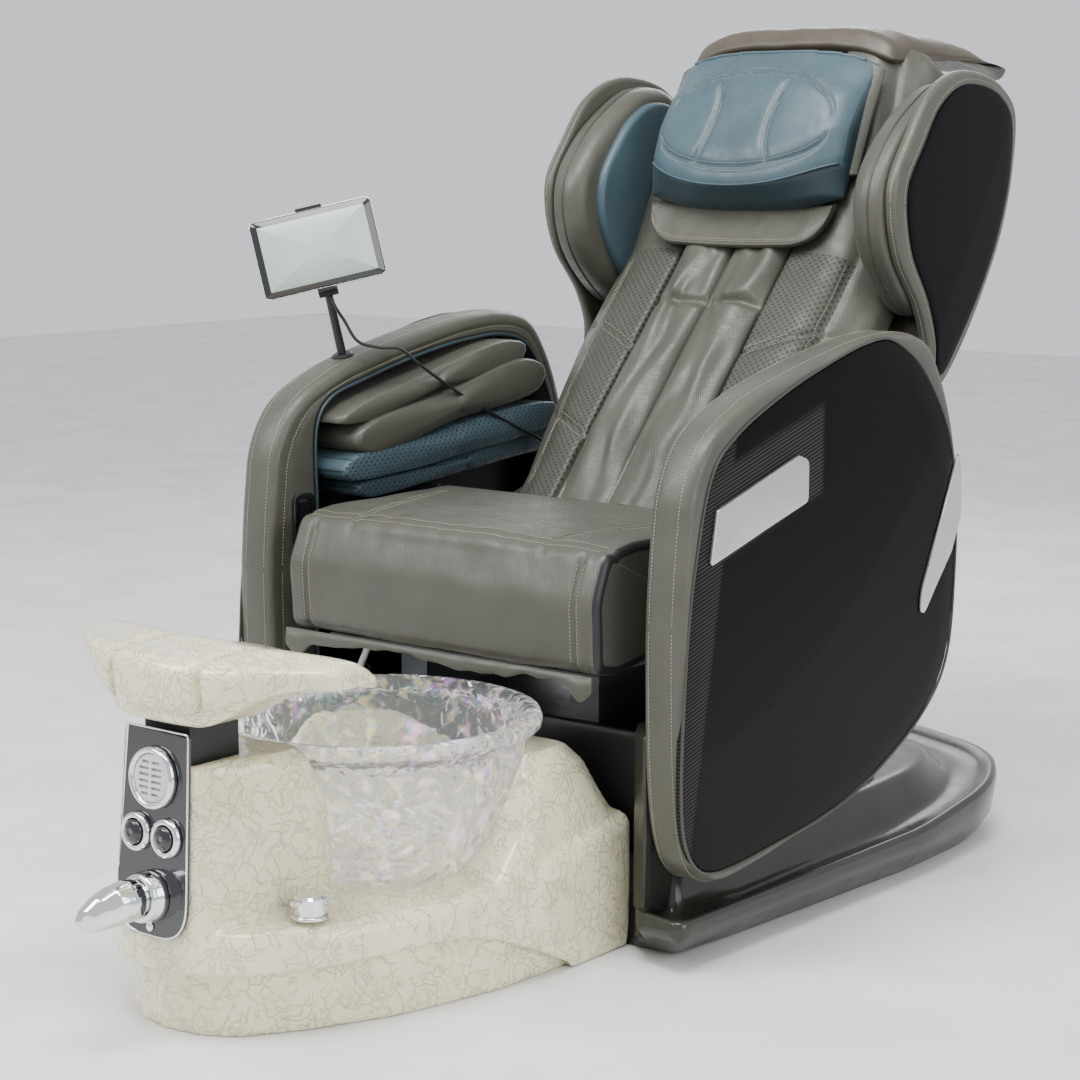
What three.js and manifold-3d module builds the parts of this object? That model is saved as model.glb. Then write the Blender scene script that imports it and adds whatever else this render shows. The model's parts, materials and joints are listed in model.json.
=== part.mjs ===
// Pedicure spa chair: a massage recliner on a moulded base, with a glass foot bowl on a gelcoat pedestal.
// Millimetres. +X is the sitter's left, +Y the back of the chair, +Z up. The origin is on the floor
// under the front of the seat, in the plane of symmetry.
import * as THREE from 'three';
import * as BufferGeometryUtils from 'three/addons/utils/BufferGeometryUtils.js';
import Module from 'manifold-3d';

const wasm = await Module();
wasm.setup();

// ---------------------------------------------------------------- driving dimensions
const GAP = 0.4;

const ARM_INNER_X = 340.5;
const ARM_OUTER_X = 411;
const ARM_PANEL_THICKNESS = 13;
const ARM_EDGE_ROUND = 12;
const ARM_PAD_INNER_X = 292;

const SEAT_HALF_WIDTH = 285;
const HINGE_Y = 150;
const HINGE_Z = 500;
const HINGE_RADIUS = 8;
const BACK_END_RADIUS = 72;
const SEAT_REAR_RADIUS = 76;

const BACK_BEND = 520;
const BACK_TOP = 358;
const BEND_BLEND = 90;
const BACK_LOWER_DIR = new THREE.Vector2(355, 380).normalize();
const BACK_UPPER_DIR = new THREE.Vector2(139, 288).normalize();
const CUSHION_DEPTH = 128;
const SHELL_DEPTH = 235;
const COVER_HALF_WIDTH = 100;
const COVER_DEPTH = 22;

const WING_OUTER_X = 339;
const WING_PANEL_X = 333;
const WING_SHELL_X = 316;
const WING_PAD_X = 292;
const WING_LINER_X = 269;

const BASE_FRONT_Y = -129.6;
const BASE_LIP_Z = 75;
const BASE_HUMP_Z = 128;
const BASE_WALL = 8;
const HOUSING_TOP_Z = 300;

const PEDESTAL_REAR_Y = BASE_FRONT_Y - 1.4;
const DECK_FRONT_Z = 140;
const DECK_REAR_Z = 190;
const COLUMN_TOP_Z = 347;
const PLINTH_TOP_Z = 100;
const PLINTH_WALL = 8;

const BOWL_Y = -365;
const BOWL_BOTTOM_Z = 110;
const BOWL_GLASS = 9;
const BOWL_RIM_Z = 341;
const BOWL_RIM_RADIUS = 231;

const PANEL_FOOT = new THREE.Vector3(0, -782, 129);
const PANEL_TILT = -Math.atan2(20, 261);
const PANEL_THICKNESS = 6;
const PANEL_LENGTH = 261;
const PANEL_TOP_HALF_WIDTH = 56;
const PANEL_BOTTOM_HALF_WIDTH = 64;
const DOCK_Z = 50;

const FOOTREST_HALF_WIDTH = 228;
const FOOTREST_TOP_Z = 484;
const FOOTREST_BOTTOM_Z = 398;
const FOOTREST_GROOVE_X = 76;

const TABLET_WIDTH = 188;
const TABLET_HEIGHT = 120;
const TABLET_DEPTH = 16;
const TABLET_CENTRE = new THREE.Vector3(-376, -68, 947);
const POST_FOOT = new THREE.Vector3(-375, -17, 780.5);
const POST_TOP = new THREE.Vector3(-376, -47.5, 883.5);
const POST_RADIUS = 7;
const BALL_RADIUS = 8;
const CABLE_RADIUS = 2.5;

// ---------------------------------------------------------------- materials
function material(color, roughness, metalness = 0) {
  return new THREE.MeshStandardMaterial({ color, roughness, metalness });
}

const look = {
  leather: () => material(0x6e7064, 0.5),
  darkLeather: () => material(0x4b483e, 0.55),
  blueLeather: () => material(0x5f7d87, 0.5),
  blackPanel: () => material(0x121212, 0.4),
  blackTrim: () => material(0x0b0b0c, 0.35),
  graphite: () => material(0x34352f, 0.2),
  silver: () => material(0xb9bdbb, 0.35, 0.8),
  chrome: () => material(0xd4d6d8, 0.08, 1),
  steel: () => material(0x55585a, 0.45, 0.9),
  gelcoat: () => material(0xe6dfc6, 0.25),
  glass: () => new THREE.MeshStandardMaterial({
    color: 0xdfeef0, roughness: 0.03, transparent: true, opacity: 0.4,
  }),
  screen: () => material(0xb9c4bd, 0.1),
  greyPlastic: () => material(0xbfc3c4, 0.45),
  rubber: () => material(0x17181a, 0.7),
};

const chair = new THREE.Group();

function add(name, geometry, finish, parent = chair) {
  const mesh = new THREE.Mesh(geometry, look[finish]());
  mesh.name = name;
  parent.add(mesh);
  return mesh;
}

// ---------------------------------------------------------------- geometry helpers
function bare(geometry) {
  const copy = geometry.index ? geometry.clone() : geometry;
  copy.deleteAttribute('normal');
  copy.deleteAttribute('uv');
  const merged = BufferGeometryUtils.mergeVertices(copy, 1e-4);
  const kept = [];
  for (let i = 0; i < merged.index.count; i += 3) {
    const triangle = [0, 1, 2].map((k) => merged.index.getX(i + k));
    if (new Set(triangle).size === 3) {
      kept.push(...triangle);
    }
  }
  merged.setIndex(kept);
  return merged;
}

function solid(geometry) {
  const merged = bare(geometry);
  return new wasm.Manifold(new wasm.Mesh({
    numProp: 3,
    vertProperties: new Float32Array(merged.attributes.position.array),
    triVerts: new Uint32Array(merged.index.array),
  }));
}

function fromSolid(manifold) {
  const mesh = manifold.asOriginal().simplify(0.05).getMesh();
  const geometry = new THREE.BufferGeometry();
  geometry.setAttribute('position', new THREE.BufferAttribute(new Float32Array(mesh.vertProperties), 3));
  geometry.setIndex(new THREE.BufferAttribute(new Uint32Array(mesh.triVerts), 1));
  return geometry;
}

function join(...geometries) {
  return fromSolid(geometries.map(solid).reduce((whole, piece) => whole.add(piece)));
}

function cut(geometry, ...tools) {
  return fromSolid(tools.map(solid).reduce((whole, tool) => whole.subtract(tool), solid(geometry)));
}

function flipped(geometry) {
  const index = geometry.index.array;
  for (let i = 0; i < index.length; i += 3) {
    [index[i + 1], index[i + 2]] = [index[i + 2], index[i + 1]];
  }
  return geometry;
}

function mirrored(geometry) {
  return flipped(bare(geometry).scale(-1, 1, 1));
}

function volumeOf(geometry) {
  const p = geometry.attributes.position;
  const index = geometry.index;
  const corner = [new THREE.Vector3(), new THREE.Vector3(), new THREE.Vector3()];
  let sum = 0;
  for (let i = 0; i < index.count; i += 3) {
    corner.forEach((v, k) => v.fromBufferAttribute(p, index.getX(i + k)));
    sum += corner[0].dot(corner[1].cross(corner[2]));
  }
  return sum;
}

// A closed body through rings of [x, y, z] points that all have the same count; its ends are fans.
function loft(rings) {
  const count = rings[0].length;
  const points = rings.flat();
  const middle = (ring) => [0, 1, 2].map((k) => ring.reduce((s, p) => s + p[k], 0) / count);
  points.push(middle(rings[0]), middle(rings.at(-1)));
  const index = [];
  for (let r = 0; r + 1 < rings.length; r++) {
    for (let i = 0; i < count; i++) {
      const a = r * count + i;
      const b = r * count + (i + 1) % count;
      index.push(a, b, b + count, a, b + count, a + count);
    }
  }
  const last = (rings.length - 1) * count;
  for (let i = 0; i < count; i++) {
    const next = (i + 1) % count;
    index.push(points.length - 2, next, i, points.length - 1, last + i, last + next);
  }
  const geometry = new THREE.BufferGeometry();
  geometry.setAttribute('position', new THREE.Float32BufferAttribute(points.flat(), 3));
  geometry.setIndex(index);
  return volumeOf(geometry) < 0 ? flipped(geometry) : geometry;
}

// Points of a polygon whose corners [u, v, radius] are rounded, with `steps` chords per corner.
const SHORTEST_ROUNDING = 2;

function roundedOutline(corners, steps = 3) {
  const outline = [];
  corners.forEach(([u, v, radius = 0], i) => {
    const here = new THREE.Vector2(u, v);
    const before = new THREE.Vector2(...corners.at(i - 1).slice(0, 2)).sub(here);
    const after = new THREE.Vector2(...corners[(i + 1) % corners.length].slice(0, 2)).sub(here);
    const cosine = before.dot(after) / before.length() / after.length();
    const angle = Math.acos(THREE.MathUtils.clamp(cosine, -1, 1));
    const wanted = radius > 0 ? Math.max(radius / Math.tan(angle / 2), SHORTEST_ROUNDING) : 0;
    const run = Math.min(wanted, before.length() * 0.48, after.length() * 0.48);
    const from = here.clone().addScaledVector(before.normalize(), run);
    const to = here.clone().addScaledVector(after.normalize(), run);
    for (let k = 0; k <= steps; k++) {
      const t = k / steps;
      const p = from.clone().multiplyScalar((1 - t) ** 2);
      p.addScaledVector(here, 2 * t * (1 - t)).addScaledVector(to, t * t);
      outline.push([p.x, p.y]);
    }
  });
  return outline;
}

// A smooth closed outline through a few points.
function smoothOutline(points, count) {
  const knots = points.map(([u, v]) => new THREE.Vector3(u, v, 0));
  const curve = new THREE.CatmullRomCurve3(knots, true, 'centripetal');
  return curve.getSpacedPoints(count).slice(0, count).map((p) => [p.x, p.y]);
}

// Mirrors the right half of a plan outline, given from front centre to rear centre.
function wholeOutline(half) {
  const left = half.slice(1, -1).reverse().map(([x, y, radius]) => [-x, y, radius]);
  return [...half, ...left];
}

function planRing(half, height, steps = 2) {
  const z = typeof height === 'function' ? height : () => height;
  return roundedOutline(wholeOutline(half), steps).map(([x, y]) => [x, y, z(y)]);
}

function blended(from, to, t) {
  return from.map((p, i) => p.map((value, k) => value + (to[i][k] - value) * t));
}

function extruded(outline, depth, bevel) {
  const corners = outline.map(([u, v]) => new THREE.Vector2(u, v));
  const distinct = corners.filter((p, i) => p.distanceTo(corners.at(i - 1)) > (bevel > 0 ? 1.2 : 0.01));
  const shape = new THREE.Shape(distinct);
  return new THREE.ExtrudeGeometry(shape, {
    depth: depth - 2 * bevel,
    bevelEnabled: bevel > 0,
    bevelThickness: bevel,
    bevelSize: bevel,
    bevelOffset: -bevel,
    bevelSegments: 1,
    curveSegments: 4,
  }).translate(0, 0, bevel);
}

// An outline in the YZ plane, given thickness from x0 to x1.
function sideSlab(outline, x0, x1, bevel = 0) {
  const turn = new THREE.Matrix4().makeBasis(
    new THREE.Vector3(0, 1, 0), new THREE.Vector3(0, 0, 1), new THREE.Vector3(1, 0, 0));
  return extruded(outline, x1 - x0, bevel).applyMatrix4(turn).translate(x0, 0, 0);
}

function box(x0, x1, y0, y1, z0, z1) {
  return new THREE.BoxGeometry(x1 - x0, y1 - y0, z1 - z0)
    .translate((x0 + x1) / 2, (y0 + y1) / 2, (z0 + z1) / 2);
}

function lathe(profile, segments) {
  const closed = [...profile, profile[0]].map(([r, z]) => new THREE.Vector2(r, z));
  const geometry = bare(new THREE.LatheGeometry(closed, segments)).rotateX(Math.PI / 2);
  return volumeOf(geometry) < 0 ? flipped(geometry) : geometry;
}

// A bar of round section between two points, optionally tapered.
function rod(from, to, radius, endRadius = radius, sides = 14) {
  const length = from.distanceTo(to);
  const direction = to.clone().sub(from).normalize();
  const turn = new THREE.Quaternion().setFromUnitVectors(new THREE.Vector3(0, 1, 0), direction);
  return new THREE.CylinderGeometry(endRadius, radius, length, sides)
    .translate(0, length / 2, 0)
    .applyQuaternion(turn)
    .translate(from.x, from.y, from.z);
}

function grown(outline, distance) {
  const cu = outline.reduce((s, p) => s + p[0], 0) / outline.length;
  const cv = outline.reduce((s, p) => s + p[1], 0) / outline.length;
  return outline.map(([u, v]) => {
    const reach = Math.hypot(u - cu, v - cv);
    return [cu + (u - cu) * (1 + distance / reach), cv + (v - cv) * (1 + distance / reach)];
  });
}

const along = (x, y, z) => new THREE.Vector3(x, y, z);
const facing = (geometry) => geometry.rotateX(Math.PI / 2);

// ---------------------------------------------------------------- chair base
const FLOOR_HALF = [
  [0, BASE_FRONT_Y], [268, BASE_FRONT_Y], [300, -127, 8], [334, -122, 16], [350, -20, 60],
  [383, 420, 200], [380, 640, 60], [312, 790, 60], [130, 858, 60], [0, 862]];
const LIP_HALF = [
  [0, BASE_FRONT_Y], [272, BASE_FRONT_Y], [318, -188, 20], [402, -204, 22], [408, -20, 60],
  [430, 420, 200], [418, 650, 60], [330, 805, 60], [130, 885, 60], [0, 890]];
const HUMP_HALF = [
  [0, BASE_FRONT_Y], [272, BASE_FRONT_Y], [306, -129, 6], [338, -127, 6], [339, 0, 60],
  [339.5, 400, 200], [330, 560, 60], [270, 690, 60], [100, 758, 60], [0, 762]];
const INNER_FLOOR_HALF = FLOOR_HALF.map(([x, y, r]) => [Math.max(0, x - BASE_WALL), y * 0.985 + 4, r]);
const INNER_HUMP_HALF = HUMP_HALF.map(([x, y, r]) => [Math.max(0, x - BASE_WALL), y * 0.985 + 4, r]);

const lipHeight = (y) => BASE_LIP_Z + 35 * THREE.MathUtils.smoothstep(y, 250, 850);

// The channel along the top of the lip runs out before it meets the flat front face.
const LIP_CHANNEL_DEPTH = 12;
function grooveHeight(y, frontRise) {
  const onFrontFace = Math.abs(y - BASE_FRONT_Y) < 0.01;
  return lipHeight(y) + (onFrontFace ? frontRise : -LIP_CHANNEL_DEPTH);
}

function chairBase() {
  const outer = loft([
    planRing(FLOOR_HALF, 0),
    planRing(blended(FLOOR_HALF, LIP_HALF, 0.35), 20),
    planRing(LIP_HALF, (y) => lipHeight(y) - 8),
    planRing(blended(LIP_HALF, HUMP_HALF, 0.1), lipHeight),
    planRing(blended(LIP_HALF, HUMP_HALF, 0.3), (y) => grooveHeight(y, 1)),
    planRing(blended(LIP_HALF, HUMP_HALF, 0.7), (y) => grooveHeight(y, 2)),
    planRing(blended(LIP_HALF, HUMP_HALF, 0.9), (y) => lipHeight(y) + 12),
    planRing(HUMP_HALF, BASE_HUMP_Z - 4),
    planRing(blended(HUMP_HALF, INNER_HUMP_HALF, 0.8), BASE_HUMP_Z)]);
  const hollow = loft([
    planRing(INNER_FLOOR_HALF, -1),
    planRing(INNER_FLOOR_HALF, 40),
    planRing(INNER_HUMP_HALF, 52),
    planRing(INNER_HUMP_HALF, BASE_HUMP_Z - BASE_WALL)]);
  const upstandPlan = [[274, -131], [296, -166], [330, -190], [334, -180], [334, -70], [274, -70]];
  const upstand = extruded(upstandPlan, 248, 0).translate(0, 0, 72);
  return cut(join(outer, upstand, mirrored(upstand)), hollow);
}

add('chassis_plate', box(-240, 240, -90, 640, 0, 8), 'steel');
add('chair_base', chairBase(), 'graphite');

const housing = cut(
  box(-268, 268, -110, 520, BASE_HUMP_Z + GAP, HOUSING_TOP_Z),
  box(-260, 260, -102, 512, BASE_HUMP_Z - 1, HOUSING_TOP_Z - BASE_WALL));
add('seat_housing', housing, 'blackTrim');

// ---------------------------------------------------------------- pedestal
const PLINTH_HALF = [
  [0, -760], [52, -752, 40], [96, -727, 60], [150, -648, 80], [202, -540, 100], [240, -390, 100],
  [255, PEDESTAL_REAR_Y - 6, 3], [0, PEDESTAL_REAR_Y - 6]];
const BODY_HALF = [
  [0, -786], [62, -778, 40], [118, -744, 60], [184, -648, 90], [238, -480, 120], [266, -320, 100],
  [267.5, PEDESTAL_REAR_Y, 3], [0, PEDESTAL_REAR_Y]];
const insetBody = (distance) => BODY_HALF.map(([x, y, r], i) => {
  const rear = i > 5;
  return [Math.max(0, x - distance), rear ? y : y + distance, r];
});
const DECK_RAMP = [-430, -140];
const deckHeight = (y) => THREE.MathUtils.lerp(
  DECK_FRONT_Z, DECK_REAR_Z, THREE.MathUtils.smoothstep(y, ...DECK_RAMP));

const BOWL_OUTSIDE = [
  [0, BOWL_BOTTOM_Z], [118, BOWL_BOTTOM_Z], [152, 120], [174, 142], [183, 170], [200, 240], [212, 316],
  [BOWL_RIM_RADIUS - 3, 321], [BOWL_RIM_RADIUS, 331], [BOWL_RIM_RADIUS - 4, BOWL_RIM_Z]];
const BOWL_INSIDE = [
  [208, BOWL_RIM_Z], [203, 334], [192, 240], [174, 174], [165, 150], [145, 130], [114, BOWL_BOTTOM_Z + BOWL_GLASS],
  [0, BOWL_BOTTOM_Z + BOWL_GLASS]];

function bowlSeat() {
  const clearance = 1.2;
  const wall = BOWL_OUTSIDE.map(([r, z]) => [r === 0 ? 0 : r + clearance, z - clearance]);
  return lathe([...wall, [BOWL_RIM_RADIUS + clearance, 400], [0, 400]], 32).translate(0, BOWL_Y, 0);
}

function column() {
  const front = (z) => PANEL_FOOT.y + (z - PANEL_FOOT.z) * Math.tan(-PANEL_TILT) + PANEL_THICKNESS + 1;
  const ring = (z, flat, side, cheekX, cheekY) => planRing([
    [0, front(z)], [flat, front(z), 10], [side, front(z) + 34, 25], [(side + cheekX) / 2 + 8, -655, 50],
    [cheekX, cheekY, 40], [0, cheekY + 30]], z);
  return loft([
    ring(130, 64, 88, 116, -545),
    ring(150, 64, 84, 108, -545),
    ring(204, 64, 76, 108, -550),
    ring(280, 61, 70, 108, -560),
    ring(338, 58, 62, 104, -590),
    ring(COLUMN_TOP_Z, 54, 56, 90, -600)]);
}

function rearCradle() {
  const ring = (z, halfWidth, frontY, rearY) => planRing([
    [0, frontY], [halfWidth, frontY, 40], [halfWidth, rearY, 30], [0, rearY]], z);
  return loft([
    ring(150, 255, -400, PEDESTAL_REAR_Y - 1),
    ring(196, 246, -350, -133),
    ring(225, 238, -335, -150),
    ring(268, 222, -310, -166),
    ring(292, 205, -292, -185)]);
}

const panelOutline = roundedOutline([
  [-PANEL_BOTTOM_HALF_WIDTH, 0, 48], [PANEL_BOTTOM_HALF_WIDTH, 0, 48],
  [PANEL_TOP_HALF_WIDTH, PANEL_LENGTH, 4], [-PANEL_TOP_HALF_WIDTH, PANEL_LENGTH, 4]], 6);

const panelPlacing = new THREE.Matrix4().makeRotationX(PANEL_TILT).setPosition(PANEL_FOOT);

// Room for the control panel and all that stands on it, in the panel's tilted frame.
function panelRoom() {
  return facing(extruded(grown(panelOutline, 0.7), 90, 0)).translate(0, PANEL_THICKNESS + GAP, 0)
    .applyMatrix4(panelPlacing);
}

const PLINTH_CLEARANCE = 1;
const PLINTH_MIDDLE_Y = -300;

// The plinth's outline, moved out by a distance, or in by a negative one.
function plinthPlan(distance) {
  return PLINTH_HALF.map(([x, y, r]) => [
    x === 0 ? 0 : Math.max(0, x + distance), y < PLINTH_MIDDLE_Y ? y - distance : y + distance, r]);
}

function pedestalBody() {
  const shell = loft([
    planRing(insetBody(4), 0),
    planRing(BODY_HALF, 84),
    planRing(insetBody(1), (y) => deckHeight(y) - 14),
    planRing(insetBody(8), deckHeight),
    planRing(insetBody(34), (y) => deckHeight(y) + 5)]);
  const roomPlan = plinthPlan(PLINTH_CLEARANCE);
  const plinthRoom = loft([planRing(roomPlan, -1), planRing(roomPlan, PLINTH_TOP_Z + PLINTH_CLEARANCE)]);
  const archProfile = [
    [-900, -5], [-252, -5], [-263, 9], [-324, 40], [-388, 69], [-440, 86], [-500, 92], [-900, 84]];
  const arch = sideSlab(archProfile, -320, 320);
  const postSocket = box(-42, 42, -747, -659, 218, 400);
  const hoseBore = rod(along(0, -5, DOCK_Z), along(0, 140, DOCK_Z), 12).applyMatrix4(panelPlacing);
  return cut(join(shell, column(), rearCradle()), plinthRoom, arch, bowlSeat(), postSocket, hoseBore,
    panelRoom());
}

function pedestalPlinth() {
  const inner = plinthPlan(-PLINTH_WALL);
  const outside = loft([planRing(PLINTH_HALF, 0), planRing(PLINTH_HALF, PLINTH_TOP_Z)]);
  const inside = loft([planRing(inner, -1), planRing(inner, PLINTH_TOP_Z + 1)]);
  return cut(outside, inside);
}

add('pedestal_body', pedestalBody(), 'gelcoat');
add('pedestal_plinth', pedestalPlinth(), 'gelcoat');
add('tub_bowl', lathe([...BOWL_OUTSIDE, ...BOWL_INSIDE], 32), 'glass').position.y = BOWL_Y;

const drain = lathe([[0, 0], [32, 0], [34, 2], [30, 4], [0, 5]], 24);
add('tub_drain', drain, 'chrome').position.set(0, BOWL_Y, BOWL_BOTTOM_Z + BOWL_GLASS + GAP);

// ---------------------------------------------------------------- control panel, in its own tilted frame
// Local axes: X to the sitter's left, Z up along the panel, -Y out of it, origin at its foot.
const panel = new THREE.Group();
panel.position.copy(PANEL_FOOT);
panel.rotation.x = PANEL_TILT;
chair.add(panel);

const panelPlate = facing(extruded(panelOutline, PANEL_THICKNESS, 1)).translate(0, PANEL_THICKNESS, 0);
const dockBore = rod(along(0, -10, DOCK_Z), along(0, 20, DOCK_Z), 12);
add('control_panel', cut(panelPlate, dockBore), 'blackTrim', panel);

function dial(name, geometry, finish, x, z, standOff = GAP) {
  const turned = geometry.rotateX(Math.PI / 2);
  const mesh = add(name, turned, finish, panel);
  mesh.position.set(x, -standOff, z);
  return mesh;
}

const GRILLE_Z = 200;
dial('grille_ring', lathe([[31, 0], [40, 0], [40, 6], [36, 11], [31, 8]], 24), 'chrome', 0, GRILLE_Z);

function grilleInsert() {
  const disc = lathe([[0, 0], [30.4, 0], [30.4, 7], [27, 8.5], [0, 9.5]], 24);
  const slots = [];
  for (const side of [-1, 1]) {
    for (let row = 0; row < 6; row++) {
      const z = -20 + row * 8;
      const reach = Math.min(18, Math.sqrt(26 ** 2 - z ** 2) - 3);
      const x0 = side < 0 ? -reach - 2 : 2;
      slots.push(new THREE.BoxGeometry(reach, 4, 8).translate(x0 + reach / 2, z, 8));
    }
  }
  return cut(disc, ...slots);
}
dial('vent_grille', grilleInsert(), 'greyPlastic', 0, GRILLE_Z);

const KNOB_Z = 128;
const KNOB_X = 27;
for (const [name, x] of [['hot_knob', -KNOB_X], ['cold_knob', KNOB_X]]) {
  dial(`${name}_bezel`, lathe([[17, 0], [25, 0], [25, 5], [22, 9], [17, 9]], 20), 'chrome', x, KNOB_Z);
  const cap = lathe([[0, 0], [16.4, 0], [16.4, 9], [13, 13], [7, 15], [0, 15.5]], 20);
  const pointer = new THREE.BoxGeometry(3, 9, 6).translate(0, 11, 11);
  dial(name, join(cap, pointer), 'blackTrim', x, KNOB_Z);
}

const dockProfile = [[18, 0], [33, 0], [33, 10], [31, 12], [31, 20], [29, 24], [18, 24]];
dial('shower_dock', lathe(dockProfile, 24), 'chrome', 0, DOCK_Z);
dial('panel_screw', lathe([[0, 0], [6, 0], [6, 1.5], [3.5, 3.5], [0, 4]], 16), 'chrome', 0, 11);

// The spray head stands in the dock; its nose bends down and towards the sitter's right.
function showerHead() {
  const route = [
    [along(0, -1, 0), 17], [along(0, -28, 0), 17], [along(0, -29, 0), 26], [along(0, -44, 0), 27],
    [along(-2, -60, -3), 26], [along(-7, -74, -10), 24], [along(-14, -86, -20), 20], [along(-20, -93, -29), 13]];
  const rings = route.map(([centre, radius], i) => {
    const bend = THREE.MathUtils.degToRad([0, 0, 0, 5, 18, 32, 45, 52][i]);
    const ring = [];
    for (let k = 0; k < 18; k++) {
      const a = (k / 18) * 2 * Math.PI;
      const u = radius * Math.cos(a);
      const v = radius * Math.sin(a);
      ring.push([centre.x + u, centre.y - v * Math.sin(bend), centre.z + v * Math.cos(bend)]);
    }
    return ring;
  });
  return loft(rings);
}
add('shower_head', showerHead(), 'chrome', panel).position.set(0, -GAP, DOCK_Z);
add('shower_hose', rod(along(0, 3, DOCK_Z), along(0, 118, DOCK_Z), 8), 'steel', panel);

const fitting = rod(along(-103, -700, 232), along(-84, -700, 232), 12, 14, 20);
add('column_fitting', cut(fitting, column()), 'chrome');

// ---------------------------------------------------------------- drain control knob on the deck
const DRAIN_KNOB = along(146, -646, deckHeight(-646) + 8);
const drainBase = lathe([[0, 0], [25, 0], [25, 3], [22, 4.5], [0, 4.5]], 20);
add('drain_knob_base', drainBase, 'chrome').position.copy(DRAIN_KNOB);

function drainKnob() {
  const body = lathe([[0, 5], [21, 5], [21, 26], [18, 29], [0, 30]], 20);
  const pins = [150, 270, 30].map((degrees) => {
    const a = THREE.MathUtils.degToRad(degrees);
    const direction = along(Math.cos(a), Math.sin(a), 0.12).normalize();
    const from = direction.clone().multiplyScalar(15).add(along(0, 0, 20));
    return rod(from, direction.clone().multiplyScalar(32).add(along(0, 0, 20)), 3.4, 4, 8);
  });
  return join(body, ...pins);
}
add('drain_knob', drainKnob(), 'chrome').position.copy(DRAIN_KNOB);

// ---------------------------------------------------------------- footrest
function footrestRing(x) {
  const t = Math.abs(x) / FOOTREST_HALF_WIDTH;
  const front = -778 + 100 * t ** 2.2;
  const rear = -572 - 26 * t ** 2;
  const top = FOOTREST_TOP_Z - 6 * t * t;
  const rearTop = 458 - 4 * t;
  const bottom = FOOTREST_BOTTOM_Z + 50 * THREE.MathUtils.smoothstep(t, 0.28, 0.8);
  return roundedOutline([
    [front, top - 4, 22], [(front + rear) / 2, top - 2, 60], [rear, rearTop, 12],
    [rear, Math.min(rearTop - 12, bottom + 30), 8], [(front + rear) / 2, bottom, 20], [front + 8, bottom, 10],
  ], 3).map(([y, z]) => [x, y, z]);
}

function footrest() {
  const stations = [-228, -222, -190, -150, -110, -60, 0, 60, 110, 150, 190, 222, 228];
  const body = loft(stations.map(footrestRing));
  const groove = (x) => box(x - 3, x + 3, -800, -590, FOOTREST_TOP_Z - 26, FOOTREST_TOP_Z + 20);
  return cut(body, groove(-FOOTREST_GROOVE_X), groove(FOOTREST_GROOVE_X));
}
add('footrest', footrest(), 'gelcoat');

const postShaft = box(-40, 40, -745, -661, 222, FOOTREST_BOTTOM_Z - GAP);
add('footrest_post', postShaft, 'blackTrim');

// ---------------------------------------------------------------- armrests
const ARM_OUTLINE = smoothOutline([
  [-216, 400], [-215, 500], [-206, 598], [-195, 658], [-156, 719], [-73, 763], [45, 795], [144, 815], [250, 831],
  [350, 832], [410, 815], [455, 760], [490, 680], [507, 580], [508, 440], [480, 325], [430, 260], [330, 203],
  [200, 160], [60, 134], [-60, 118], [-135, 118], [-180, 148], [-205, 225]], 48);
const ARM_PANEL_OUTLINE = smoothOutline([
  [-208, 402], [-186, 562], [-146, 681], [-96, 720], [12, 765], [115, 796], [223, 821], [290, 825], [339, 807],
  [387, 777], [464, 686], [494, 600], [499, 469], [478, 326], [418, 260], [249, 181], [138, 156], [30, 144],
  [-140, 136], [-179, 152], [-208, 200]], 42);
const ARM_OPENING = smoothOutline([
  [-112, 560], [-108, 690], [-80, 722], [0, 746], [140, 777], [240, 791], [330, 794], [390, 776], [450, 690],
  [468, 600], [462, 440], [400, 300], [250, 240], [60, 215], [-60, 215], [-106, 280]], 32);
const UPPER_PAD = smoothOutline([
  [-100, 650], [-100, 692], [-74, 712], [0, 736], [140, 768], [240, 782], [320, 784], [365, 766], [395, 722],
  [370, 702], [200, 676], [40, 650], [-50, 636]], 26);
const LOWER_PAD = smoothOutline([
  [-104, 600], [-90, 622], [-30, 629], [200, 665], [380, 692], [425, 690], [448, 660], [440, 620], [300, 600],
  [88, 580], [-60, 574]], 24);
const PLATE_OUTLINE = roundedOutline([
  [-162, 556, 3], [75, 616, 10], [75, 674, 12], [50, 683, 10], [-147, 629, 3]], 2);
const STRIP_OUTLINE = roundedOutline([
  [394, 412, 8], [406, 408, 8], [436, 442, 30], [484, 492, 40], [511, 545, 30], [508, 610, 30],
  [499, 644, 3], [396, 442, 10]], 3);

const ARM_PANEL_X = ARM_OUTER_X - ARM_PANEL_THICKNESS;

function armFrame() {
  const block = sideSlab(ARM_OUTLINE, ARM_INNER_X, ARM_OUTER_X, ARM_EDGE_ROUND);
  const panelRoom = sideSlab(grown(ARM_PANEL_OUTLINE, 0.5), ARM_PANEL_X - GAP, ARM_OUTER_X + 5);
  const opening = sideSlab(ARM_OPENING, ARM_INNER_X - 5, ARM_PANEL_X);
  return cut(block, panelRoom, opening);
}

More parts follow.
